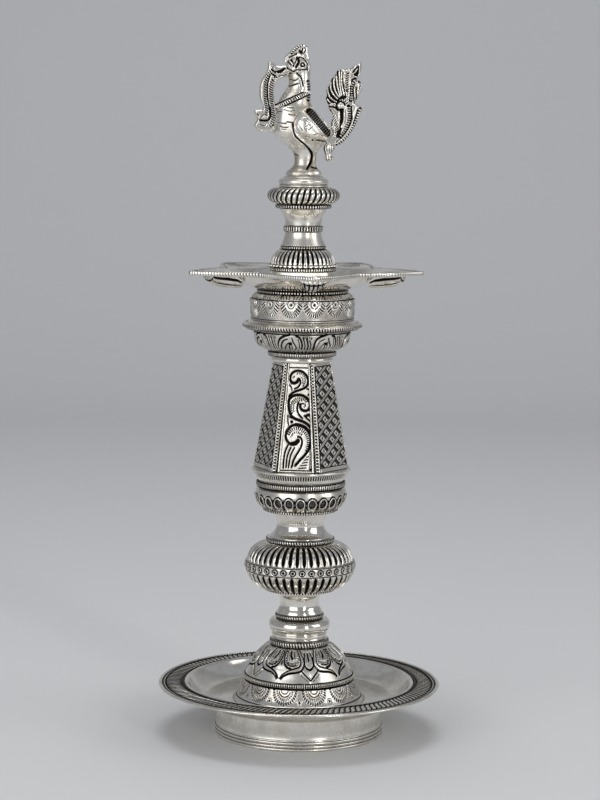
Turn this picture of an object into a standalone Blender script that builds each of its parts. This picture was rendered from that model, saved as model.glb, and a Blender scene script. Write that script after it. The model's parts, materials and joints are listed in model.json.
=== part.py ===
"""Silver oil lamp with a swan finial: a chased pillar on a drip plate, under a five-spouted oil dish.

Metres, +Z up. The origin is the middle of the foot's resting face. The swan looks along -X.
The lamp is a stack of hollow sections, each with brass bushes in its floors. Loose brass joining screws
hold one section on the next, so each section turns on its screw and rises off it.
"""

import math

import bpy
from mathutils import Vector

# Common sizes
GAP = 0.0003
WALL = 0.0012
FLOOR = 0.0020
LEDGE = 0.0006
RING_BULGE = 0.0012
LARGE_SIDES = 36
MEDIUM_SIDES = 24
SMALL_SIDES = 18
ROD_SIDES = 12

# Joining screws and the bushes that they run in
SCREW_RADIUS = 0.0040
SCREW_GRIP = 0.0070
SCREW_END_PLAY = 0.0005
BUSH_RADIUS = 0.0060
BUSH_FLANGE_RADIUS = 0.0082
BUSH_FLANGE = 0.0015
BUSH_LENGTH = 0.0080
CUP_BUSH_COLLAR = 0.0020
DISH_BUSH_LENGTH = 0.0185
TIE_GRIP = 0.0060

# Foot and drip plate
FOOT_HEIGHT = 0.0180
FOOT_RADIUS = 0.0482
FOOT_WALL = 0.0015
FOOT_BEAD = 0.0018
FOOT_BEADS = 3
PLATE_RADIUS = 0.0811
PLATE_WELL_RADIUS = 0.0650
PLATE_FLAT_RADIUS = 0.0540
PLATE_DEPTH = 0.0100
PLATE_RIM_DROP = 0.0009
PLATE_LIP = 0.0011

# Lotus dome and knop
DOME_FOOT_RADIUS = 0.0383
DOME_FOOT_HEIGHT = 0.0046
DOME_SKIRT_RADIUS = 0.0345
DOME_SKIRT_HEIGHT = 0.0112
DOME_BAND_RADIUS = 0.0322
DOME_BAND_HEIGHT = 0.0028
DOME_SHOULDER_RADIUS = 0.0274
DOME_HEIGHT = 0.0315
DOME_TOP_RADIUS = 0.0190
KNOP_RING_RADIUS = 0.0174
KNOP_RING_HEIGHT = 0.0034
KNOP_STEP_RADIUS = 0.0158
KNOP_STEP_HEIGHT = 0.0036
KNOP_RADIUS = 0.0177
KNOP_HEIGHT = 0.0082
KNOP_TOP_RADIUS = 0.0130
NECK_RING_RADIUS = 0.0143
NECK_RING_HEIGHT = 0.0022
LOWER_NECK_FOOT_RADIUS = 0.0130
LOWER_NECK_WAIST_RADIUS = 0.0117
LOWER_NECK_TOP_RADIUS = 0.0156
LOWER_NECK_HEIGHT = 0.0141

# Tie rod under the plate
TIE_NUT_RADIUS = 0.0075
TIE_NUT_HEIGHT = 0.0055
TIE_END = 0.0020

# Fluted bulb
BULB_FLUTES = 36
BULB_FLUTE_DEPTH = 0.0009
BULB_FOOT_RADIUS = 0.0190
BULB_LOWER_HEIGHT = 0.0107
BULB_RADIUS = 0.0306
GIRDLE_RADIUS = 0.0319
GIRDLE_HEIGHT = 0.0056
GIRDLE_WIDTH = 0.0030
BULB_UPPER_HEIGHT = 0.0103
BULB_TOP_RADIUS = 0.0190
BULB_COLLAR_RADIUS = 0.0200
BULB_COLLAR_HEIGHT = 0.0022
MID_NECK_FOOT_RADIUS = 0.0178
MID_NECK_WAIST_RADIUS = 0.0134
MID_NECK_TOP_RADIUS = 0.0162
MID_NECK_HEIGHT = 0.0150

# Petal cup and hexagonal pillar
CUP_RING_RADIUS = 0.0218
CUP_RING_HEIGHT = 0.0014
CUP_RADIUS = 0.0261
CUP_HEIGHT = 0.0113
ROPE_RING_RADIUS = 0.0260
ROPE_RING_HEIGHT = 0.0044
ROPE_RING_BULGE = 0.0016
MOULDING_LIP_RADIUS = 0.0284
MOULDING_WAIST_RADIUS = 0.0246
MOULDING_HEIGHT = 0.0068
PILLAR_FOOT_RADIUS = 0.0275
PILLAR_TOP_RADIUS = 0.0166
PILLAR_HEIGHT = 0.0608
PILLAR_TURN = math.radians(-6.8)
PILLAR_RING_RADIUS = 0.0180
PILLAR_RING_HEIGHT = 0.0026
PILLAR_BEAD_RADIUS = 0.0199
PILLAR_BEAD_HEIGHT = 0.0030

# Leaf cup, flange and drum under the dish
LEAF_CUP_FOOT_RADIUS = 0.0196
LEAF_CUP_RADIUS = 0.0286
LEAF_CUP_HEIGHT = 0.0112
FLANGE_RADIUS = 0.0343
FLANGE_HEIGHT = 0.0034
FLANGE_LIP = 0.0030
CAVETTO_HEIGHT = 0.0024
DRUM_RADIUS = 0.0296
DRUM_HEIGHT = 0.0148
DRUM_SHOULDER = 0.0030

# Oil dish with five spouts
SPOUTS = 5
SPOUT_TURN = math.radians(-84)
DISH_SEAT_RADIUS = 0.0262
DISH_SEAT_HEIGHT = 0.0018
DISH_FLOOR_RADIUS = 0.0250
DISH_BOWL_RADIUS = 0.0425
DISH_VALLEY_RADIUS = 0.0475
DISH_TIP_RADIUS = 0.0695
DISH_DEPTH = 0.0102
DISH_EDGE = 0.0026
SPOUT_POWER = 1.6
SPOUT_TROUGH = 0.0016
SPOUT_LEAF_LENGTH = 0.0150
SPOUT_LEAF_WIDTH = 0.0160
SPOUT_LEAF_DEPTH = 0.0046
DISH_COLUMNS = 50
DISH_FLANGE = 0.0015

# Stem above the dish
STEM_COLLAR_RADIUS = 0.0182
STEM_COLLAR_HEIGHT = 0.0086
STEM_FOOT_RING_RADIUS = 0.0192
STEM_FOOT_RING_HEIGHT = 0.0024
STEM_DOME_RADIUS = 0.0195
STEM_DOME_TOP_RADIUS = 0.0130
STEM_DOME_HEIGHT = 0.0097
STEM_RIM_HEIGHT = 0.0014
STEM_FLUTES = 24
STEM_FLUTE_DEPTH = 0.0008
STEM_RING_RADIUS = 0.0131
STEM_RING_HEIGHT = 0.0016
STEM_LOWER_FOOT_RADIUS = 0.0125
STEM_WAIST_RADIUS = 0.0101
STEM_LOWER_HEIGHT = 0.0074
STEM_BAND_RADIUS = 0.0114
STEM_BAND_HEIGHT = 0.0034
STEM_BAND_BULGE = 0.0005
STEM_UPPER_TOP_RADIUS = 0.0136
STEM_UPPER_HEIGHT = 0.0092
STEM_BEAD_RADIUS = 0.0162
STEM_BEAD_HEIGHT = 0.0022
TWIST_RADIUS = 0.0208
TWIST_HEIGHT = 0.0092
TWIST_LANDING_RADIUS = 0.0150
TWIST_FLUTES = 24
TWIST_FLUTE_DEPTH = 0.0009
TWIST_LEAN = 0.9
PLINTH_RING_RADIUS = 0.0140
PLINTH_RING_HEIGHT = 0.0015
PLINTH_RADIUS = 0.0142
PLINTH_HEIGHT = 0.0046
PLINTH_SHOULDER = 0.0034
SWAN_STUD_RADIUS = 0.0025
STEM_CORE_SOLID = 0.0040

# Swan, in its own frame: x forward is negative, z up from the plinth's top
SWAN_SIDES = 14
SWAN_HEIGHT = 0.0734
SWAN_DEPTH = 0.0326
SWAN_WIDTH = 0.0200
SWAN_FOOT_RADIUS = 0.0100
SWAN_SCALE = SWAN_HEIGHT / 73.4
TAIL_THICKNESS = 0.0046
CREST_THICKNESS = 0.0040
GARLAND_THICKNESS = 0.0056
NECKLACE_WIDTH = 0.0022


def material(name, colour, roughness, metallic=1.0):
    made = bpy.data.materials.new(name)
    made.use_nodes = True
    shader = made.node_tree.nodes["Principled BSDF"]
    shader.inputs["Base Color"].default_value = (*colour, 1.0)
    shader.inputs["Roughness"].default_value = roughness
    shader.inputs["Metallic"].default_value = metallic
    return made


def clear_scene():
    for old in list(bpy.data.objects):
        bpy.data.objects.remove(old, do_unlink=True)


def mesh_object(name, points, faces, finish, smooth_angle=math.radians(35)):
    mesh = bpy.data.meshes.new(name)
    mesh.from_pydata([tuple(p) for p in points], [], faces)
    mesh.validate()
    mesh.materials.append(finish)
    mesh.shade_smooth()
    mesh.set_sharp_from_angle(angle=smooth_angle)
    made = bpy.data.objects.new(name, mesh)
    bpy.context.scene.collection.objects.link(made)
    return made


def smooth(points, steps):
    """A curve through the points, with that many steps from each to the next."""
    ends = [points[0], *points, points[-1]]
    curve = []
    for a, b, c, d in zip(ends, ends[1:], ends[2:], ends[3:]):
        for k in range(steps):
            t = k / steps
            weights = (
                (-t + 2 * t * t - t**3) / 2,
                (2 - 5 * t * t + 3 * t**3) / 2,
                (t + 4 * t * t - 3 * t**3) / 2,
                (t**3 - t * t) / 2,
            )
            curve.append(tuple(sum(w * p[i] for w, p in zip(weights, (a, b, c, d))) for i in range(len(b))))
    curve.append(tuple(points[-1]))
    return curve


def arc(radius, height, bulge, steps):
    """Points up a rounded edge that stands out by bulge between two ends at the radius."""
    return [
        (radius + bulge * math.sin(math.pi * k / steps), height * (1 - math.cos(math.pi * k / steps)) / 2)
        for k in range(steps + 1)
    ]


def raised(points, z):
    return [(r, h + z) for r, h in points]


def inner_wall(outer, wall):
    """The inside of a turned wall, bottom to top, whose end points keep their heights."""
    inside = []
    for k, (r, z) in enumerate(outer):
        before = outer[max(k - 1, 0)]
        after = outer[min(k + 1, len(outer) - 1)]
        along = Vector((after[0] - before[0], after[1] - before[1])).normalized()
        if k in (0, len(outer) - 1):
            inside.append((r - wall / max(abs(along.y), 0.5), z))
        else:
            inside.append((r - wall * along.y, z + wall * along.x))
    return inside


def coarse(points):
    """Every second point, with both ends."""
    return [p for k, p in enumerate(points) if k % 2 == 0 or k == len(points) - 1]


def shell(outer, wall=WALL):
    """A closed outline of a turned shell, from its outside listed bottom to top."""
    return outer + coarse(inner_wall(outer, wall))[::-1]


def floored(outer, bore, floor_low=False, floor_high=False, wall=WALL):
    """A turned shell with a flat floor at either end, bored through the middle."""
    inside = coarse(inner_wall(outer, wall))
    low, high = outer[0][1], outer[-1][1]
    kept = [
        p
        for p in inside
        if (not floor_low or p[1] > low + FLOOR * 1.2) and (not floor_high or p[1] < high - FLOOR * 1.2)
    ]
    outline = list(outer)
    if floor_high:
        outline += [(bore, high), (bore, high - FLOOR), (kept[-1][0], high - FLOOR)]
    outline += kept[::-1]
    if floor_low:
        outline += [(kept[0][0], low + FLOOR), (bore, low + FLOOR), (bore, low)]
    return outline


def turned(name, outline, sides, finish, relief=None, turn=0.0):
    """A solid of revolution. relief(row, column) gives what is added to the radius and to the angle."""
    points, faces, rings = [], [], []
    for row, (r, z) in enumerate(outline):
        if r == 0:
            rings.append([len(points)] * sides)
            points.append((0, 0, z))
            continue
        ring = []
        for column in range(sides):
            more, lean = relief(row, column) if relief else (0, 0)
            angle = turn + lean + 2 * math.pi * column / sides
            ring.append(len(points))
            points.append(((r + more) * math.cos(angle), (r + more) * math.sin(angle), z))
        rings.append(ring)
    count = len(outline)
    open_ended = outline[0][0] == 0
    for row in range(count - 1 if open_ended else count):
        low, high = rings[row], rings[(row + 1) % count]
        for column in range(sides):
            after = (column + 1) % sides
            face = [low[column], low[after], high[after], high[column]]
            distinct = list(dict.fromkeys(face))
            if len(distinct) > 2:
                faces.append(distinct)
    return mesh_object(name, points, faces, finish)


def ring(name, radius, height, bore, z, sides, finish, bulge=None):
    """A round-edged ring between two flat faces."""
    swell = min(height / 2, RING_BULGE) if bulge is None else bulge
    outline = [(bore, z)] + raised(arc(radius - swell, height, swell, 3), z) + [(bore, z + height)]
    return turned(name, outline, sides, finish)


def fluted(rows, depth, lean=0.0):
    """Relief whose every second column is a groove, over the given rows, leaning by that many flutes."""
    first, last, flutes = rows

    def relief(row, column):
        if not first <= row <= last:
            return 0, 0
        share = (row - first) / max(last - first, 1)
        fade = 1 if first < row < last else 0.45
        return (-depth * fade if column % 2 else 0), lean * share * 2 * math.pi / flutes

    return relief


def bush(name, low, length, flange_low, finish, radius=BUSH_RADIUS):
    """A bored brass bush with its flange at the lower or the upper end."""
    bore = SCREW_RADIUS + GAP
    high = low + length
    if flange_low:
        outline = [
            (bore, low), (BUSH_FLANGE_RADIUS, low), (BUSH_FLANGE_RADIUS, low + BUSH_FLANGE),
            (radius, low + BUSH_FLANGE), (radius, high), (bore, high),
        ]
    else:
        outline = [
            (bore, low), (radius, low), (radius, high - BUSH_FLANGE),
            (BUSH_FLANGE_RADIUS, high - BUSH_FLANGE), (BUSH_FLANGE_RADIUS, high), (bore, high),
        ]
    return turned(name, outline, ROD_SIDES, finish)


def rod(name, low, high, radius, finish):
    return turned(name, [(0, low), (radius, low), (radius, high), (0, high)], ROD_SIDES, finish)


def loft(name, stations, finish, grow=0.0, sides=SWAN_SIDES):
    """A closed body through ovals: x, z, half depth across the path, half width in y, and y if any."""
    points, faces = [], []
    last = len(stations) - 1
    for k, (x, z, half, side, *middle) in enumerate(stations):
        before = stations[max(k - 1, 0)]
        after = stations[min(k + 1, last)]
        along = Vector((after[0] - before[0], 0, after[1] - before[1])).normalized()
        across = Vector((along.z, 0, -along.x))
        push = along * (grow if k == last else -grow if k == 0 else 0)
        for j in range(sides):
            angle = 2 * math.pi * j / sides
            spot = Vector((x, sum(middle), z)) + push + across * ((half + grow) * math.cos(angle))
            spot.y += (side + grow) * math.sin(angle)
            points.append(spot)
    for k in range(last):
        for j in range(sides):
            after = (j + 1) % sides
            low, high = k * sides, (k + 1) * sides
            faces.append([low + j, low + after, high + after, high + j])
    faces.append(list(range(sides))[::-1])
    faces.append([last * sides + j for j in range(sides)])
    return mesh_object(name, points, faces, finish)


def wing_stations(z, side):
    """A folded wing from its shoulder back to the tail, on the side of that sign."""
    shape = [
        (-6.2, 30.0, 1.6, 0.8, 8.4), (-3.2, 29.6, 5.6, 1.8, 9.0), (3.0, 27.6, 7.6, 2.4, 8.6),
        (9.0, 25.2, 6.4, 2.4, 7.2), (14.0, 22.8, 3.8, 2.0, 5.2), (17.0, 21.2, 1.4, 1.2, 4.4),
    ]
    return [
        (x * SWAN_SCALE, z + up * SWAN_SCALE, half * SWAN_SCALE, wide * SWAN_SCALE, side * off * SWAN_SCALE)
        for x, up, half, wide, off in shape
    ]


def tassel_stations(z):
    shape = [(14.4, 18.6, 2.4, 2.0), (14.2, 14.6, 3.2, 2.4), (14.0, 11.0, 2.2, 1.8), (14.4, 8.4, 2.8, 2.0)]
    return [tuple(v * SWAN_SCALE + (z if k == 1 else 0) for k, v in enumerate(row)) for row in shape]


def room(name, outline, thickness, finish):
    """A cutter for what must stay clear of a plate: its outline and its faces moved out by the gap."""
    wider = []
    for before, here, after in zip(outline[-1:] + outline[:-1], outline, outline[1:] + outline[:1]):
        a = (Vector(here) - Vector(before)).normalized()
        b = (Vector(after) - Vector(here)).normalized()
        bisector = Vector((a.y + b.y, -a.x - b.x)).normalized()
        reach = GAP * 1.05 / max(bisector.dot(Vector((a.y, -a.x))), 0.4)
        wider.append(tuple(Vector(here) + bisector * reach))
    return plate(name, wider, thickness + 2 * GAP, finish)


def necklace(z, finish):
    """A leaning collar round the neck."""
    middle = Vector((-6.2, 43.6)) * SWAN_SCALE
    lean = Vector((-0.42, 0.907)).normalized() * NECKLACE_WIDTH / 2
    half, side = 10.6 * SWAN_SCALE, 8.4 * SWAN_SCALE
    low, high = middle - lean, middle + lean
    return loft(
        "swan_necklace",
        [(low.x, z + low.y, half, side), (high.x, z + high.y, half * 0.97, side * 0.95)],
        finish,
    )


def plate(name, outline, thickness, finish, y=0.0):
    """An upright plate with that outline of (x, z) points, anticlockwise as seen from -Y."""
    count = len(outline)
    points = [(x, y - thickness / 2, z) for x, z in outline]
    points += [(x, y + thickness / 2, z) for x, z in outline]
    faces = [list(range(count)), list(range(count, 2 * count))[::-1]]
    faces += [[(k + 1) % count, k, k + count, (k + 1) % count + count] for k in range(count)]
    return mesh_object(name, points, faces, finish)


def boolean(target, other, operation):
    """Joins or cuts with the exact solver and hides the other object."""
    modifier = target.modifiers.new(operation.title(), "BOOLEAN")
    modifier.operation = operation
    modifier.object = other
    other.hide_render = True
    other.display_type = "WIRE"
    return target


def hollow_ring(radius):
    """The bore that leaves a soldered ring enough width to stand on its neighbours."""
    return max(radius - 0.0062, BUSH_FLANGE_RADIUS + GAP)


def build_base(silver, brass, steel):
    """Foot, drip plate, lotus dome, knop and lower neck on their tie rod. Returns the top face's height."""
    bead_pitch = 2 * FOOT_BEAD
    foot = [(FOOT_RADIUS - FOOT_WALL, 0)]
    for k in range(FOOT_BEADS):
        low = k * bead_pitch
        swell = FOOT_BEAD * (0.62 - 0.10 * k)
        foot += [(FOOT_RADIUS, low), (FOOT_RADIUS + swell, low + FOOT_BEAD * 0.5)]
        foot += [(FOOT_RADIUS + swell, low + FOOT_BEAD * 1.5)]
    foot += [(FOOT_RADIUS, FOOT_BEADS * bead_pitch), (FOOT_RADIUS, FOOT_HEIGHT)]
    foot += [(FOOT_RADIUS - FOOT_WALL, FOOT_HEIGHT)]
    turned("foot_ring", foot, LARGE_SIDES, silver)

    floor = FOOT_HEIGHT + GAP
    floor_top = floor + WALL
    rim = floor_top + PLATE_DEPTH
    bore = SCREW_RADIUS + GAP
    bend = PLATE_WELL_RADIUS - PLATE_FLAT_RADIUS
    edge = rim - PLATE_RIM_DROP
    under = [
        (bore, floor),
        (PLATE_FLAT_RADIUS, floor),
        (PLATE_FLAT_RADIUS + bend * 0.62, floor + PLATE_DEPTH * 0.34),
        (PLATE_WELL_RADIUS + WALL * 0.4, rim - WALL),
        (PLATE_RADIUS - PLATE_LIP, edge - WALL),
        (PLATE_RADIUS, edge - PLATE_LIP * 0.6),
    ]
    over = [
        (PLATE_RADIUS, edge + PLATE_LIP * 0.3),
        (PLATE_RADIUS - PLATE_LIP, edge + PLATE_LIP * 0.8),
        (PLATE_RADIUS - 2 * PLATE_LIP, edge),
        (PLATE_WELL_RADIUS + WALL, rim),
        (PLATE_WELL_RADIUS, rim + WALL * 0.5),
        (PLATE_WELL_RADIUS - WALL, rim - WALL * 0.4),
        (PLATE_FLAT_RADIUS + bend * 0.52, floor_top + PLATE_DEPTH * 0.34),
        (PLATE_FLAT_RADIUS, floor_top),
        (bore, floor_top),
    ]
    turned("drip_plate", under + over, LARGE_SIDES, silver)

    z = floor_top + GAP
    dome_foot = z
    band_low = z + DOME_SKIRT_HEIGHT
    band_high = band_low + DOME_BAND_HEIGHT
    side = smooth(
        [
            (DOME_FOOT_RADIUS, z),
            (DOME_SKIRT_RADIUS, z + DOME_FOOT_HEIGHT),
            (DOME_BAND_RADIUS - LEDGE, band_low),
        ],
        2,
    )
    side += [(DOME_BAND_RADIUS, band_low + DOME_BAND_HEIGHT * 0.35), (DOME_BAND_RADIUS - LEDGE, band_high)]
    side += smooth(
        [
            (DOME_BAND_RADIUS - 3 * LEDGE, band_high + GAP),
            (DOME_SHOULDER_RADIUS, band_high + (z + DOME_HEIGHT - band_high) * 0.46),
            (DOME_TOP_RADIUS, z + DOME_HEIGHT),
        ],
        3,
    )
    turned("lotus_dome", floored(side, BUSH_RADIUS + GAP, floor_high=True), MEDIUM_SIDES, silver)

    z = dome_foot + DOME_HEIGHT + GAP
    ring_bore = hollow_ring(KNOP_RING_RADIUS)
    ring("knop_rope_ring", KNOP_RING_RADIUS, KNOP_RING_HEIGHT, ring_bore, z, MEDIUM_SIDES, silver)
    z += KNOP_RING_HEIGHT + GAP
    knop = [(KNOP_STEP_RADIUS, z), (KNOP_STEP_RADIUS, z + KNOP_STEP_HEIGHT)]
    low = z + KNOP_STEP_HEIGHT
    swell = KNOP_RADIUS - KNOP_TOP_RADIUS
    for k in range(6):
        bulge = math.sin(math.pi * (0.22 + 0.78 * k / 6)) ** 0.7
        knop.append((KNOP_TOP_RADIUS + swell * bulge, low + KNOP_HEIGHT * k / 6))
    knop += [(KNOP_TOP_RADIUS, low + KNOP_HEIGHT)]
    turned("base_knop", shell(knop, wall=2 * WALL), MEDIUM_SIDES, silver)

    z = low + KNOP_HEIGHT + GAP
    ring_bore = hollow_ring(NECK_RING_RADIUS)
    ring("neck_rope_ring", NECK_RING_RADIUS, NECK_RING_HEIGHT, ring_bore, z, SMALL_SIDES, silver)
    z += NECK_RING_HEIGHT + GAP
    neck_top = z + LOWER_NECK_HEIGHT
    flare = LOWER_NECK_TOP_RADIUS - LOWER_NECK_WAIST_RADIUS
    neck = smooth(
        [
            (LOWER_NECK_FOOT_RADIUS, z),
            (LOWER_NECK_WAIST_RADIUS, z + LOWER_NECK_HEIGHT * 0.46),
            (LOWER_NECK_WAIST_RADIUS + flare * 0.34, z + LOWER_NECK_HEIGHT * 0.76),
            (LOWER_NECK_TOP_RADIUS, neck_top),
        ],
        2,
    )
    turned("lower_neck", floored(neck, BUSH_RADIUS + GAP, floor_high=True), SMALL_SIDES, silver)

    bush_low = neck_top - FLOOR - GAP - BUSH_FLANGE - SCREW_GRIP - TIE_GRIP
    bore = SCREW_RADIUS + GAP
    shoulder = neck_top - FLOOR - GAP
    outline = [
        (bore, bush_low), (BUSH_FLANGE_RADIUS, bush_low), (BUSH_FLANGE_RADIUS, shoulder),
        (BUSH_RADIUS, shoulder), (BUSH_RADIUS, neck_top), (bore, neck_top),
    ]
    turned("neck_bush", outline, ROD_SIDES, brass)
    rod_low = floor - GAP - TIE_NUT_HEIGHT - TIE_END
    rod("tie_rod", rod_low, bush_low + TIE_GRIP, SCREW_RADIUS, brass)
    nut_low = rod_low + TIE_END
    nut = [(bore, nut_low), (TIE_NUT_RADIUS, nut_low), (TIE_NUT_RADIUS, nut_low + TIE_NUT_HEIGHT),
           (bore, nut_low + TIE_NUT_HEIGHT)]
    nut_points = turned("tie_nut", nut, 12, steel)
    across = TIE_NUT_RADIUS * math.cos(math.pi / 6)
    for vertex in nut_points.data.vertices:
        radius = vertex.co.xy.length
        if radius > bore * 1.5:
            angle = math.atan2(vertex.co.y, vertex.co.x)
            nearest = round(angle / (math.pi / 3)) * math.pi / 3
            length = across / math.cos(math.pi / 6) if abs(angle - nearest) < 0.01 else across
            vertex.co.xy = vertex.co.xy * (length / radius)
    return neck_top


def joining_screw(name, joint, brass):
    """A loose screw that grips as far into the section below the joint face as into the one above."""
    reach = SCREW_GRIP - SCREW_END_PLAY
    return rod(name, joint - reach, joint + reach, SCREW_RADIUS, brass)


def build_bulb(z, silver, brass):
    """The fluted bulb and the neck above it. Returns the top face's height."""
    bush("bulb_bush", z, BUSH_LENGTH, False, brass)
    bush_bore = BUSH_RADIUS + GAP
    flange_room = BUSH_LENGTH - BUSH_FLANGE - GAP
    low = z
    side = smooth(
        [
            (BULB_FOOT_RADIUS, low),
            (BULB_RADIUS * 0.85, low + BULB_LOWER_HEIGHT * 0.30),
            (BULB_RADIUS, low + BULB_LOWER_HEIGHT),
        ],
        2,
    )
    outline = side + [(BULB_RADIUS - 2 * WALL, low + BULB_LOWER_HEIGHT)]
    outline += [(BULB_RADIUS * 0.78, low + flange_room), (bush_bore, low + flange_room), (bush_bore, low)]
    turned("bulb_lower", outline, 2 * BULB_FLUTES, silver, fluted((0, 4, BULB_FLUTES), BULB_FLUTE_DEPTH))
    low += BULB_LOWER_HEIGHT + GAP
    girdle_bore = GIRDLE_RADIUS - GIRDLE_WIDTH
    ring("bulb_girdle", GIRDLE_RADIUS, GIRDLE_HEIGHT, girdle_bore, low, MEDIUM_SIDES, silver)
    low += GIRDLE_HEIGHT + GAP
    side = smooth(
        [
            (BULB_RADIUS - GAP, low),
            (BULB_RADIUS * 0.89, low + BULB_UPPER_HEIGHT * 0.62),
            (BULB_TOP_RADIUS, low + BULB_UPPER_HEIGHT),
        ],
        2,
    )
    outline = side + [(BULB_TOP_RADIUS - 4 * WALL, low + BULB_UPPER_HEIGHT)]
    outline += [(BULB_TOP_RADIUS - 4 * WALL, low + BULB_UPPER_HEIGHT - WALL), (BULB_RADIUS - 2 * WALL, low)]
    turned("bulb_upper", outline, 2 * BULB_FLUTES, silver, fluted((0, 4, BULB_FLUTES), BULB_FLUTE_DEPTH))
    low += BULB_UPPER_HEIGHT + GAP
    collar_bore = BULB_TOP_RADIUS - 4 * WALL
    ring("bulb_bead_collar", BULB_COLLAR_RADIUS, BULB_COLLAR_HEIGHT, collar_bore, low, MEDIUM_SIDES, silver)
    low += BULB_COLLAR_HEIGHT + GAP
    top = low + MID_NECK_HEIGHT
    flare = MID_NECK_TOP_RADIUS - MID_NECK_WAIST_RADIUS
    side = smooth(
        [
            (MID_NECK_FOOT_RADIUS, low),
            (MID_NECK_WAIST_RADIUS + flare * 0.40, low + MID_NECK_HEIGHT * 0.18),
            (MID_NECK_WAIST_RADIUS, low + MID_NECK_HEIGHT * 0.44),
            (MID_NECK_WAIST_RADIUS + flare * 0.50, low + MID_NECK_HEIGHT * 0.78),
            (MID_NECK_TOP_RADIUS, top),
        ],
        2,
    )
    turned("mid_neck", floored(side, bush_bore, floor_high=True), SMALL_SIDES, silver)
    shoulder = top - FLOOR - GAP
    neck_bush(top, shoulder, "mid_neck_bush", brass)
    return top


def neck_bush(top, shoulder, name, brass):
    """A bush whose flange sits under a section's top floor and whose end is flush with its top face."""
    bore = SCREW_RADIUS + GAP
    low = top - BUSH_LENGTH
    outline = [
        (bore, low), (BUSH_RADIUS, low), (BUSH_RADIUS, shoulder - BUSH_FLANGE),
        (BUSH_FLANGE_RADIUS, shoulder - BUSH_FLANGE), (BUSH_FLANGE_RADIUS, shoulder),
        (BUSH_RADIUS, shoulder), (BUSH_RADIUS, top), (bore, top),
    ]
    return turned(name, outline, ROD_SIDES, brass)


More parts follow.
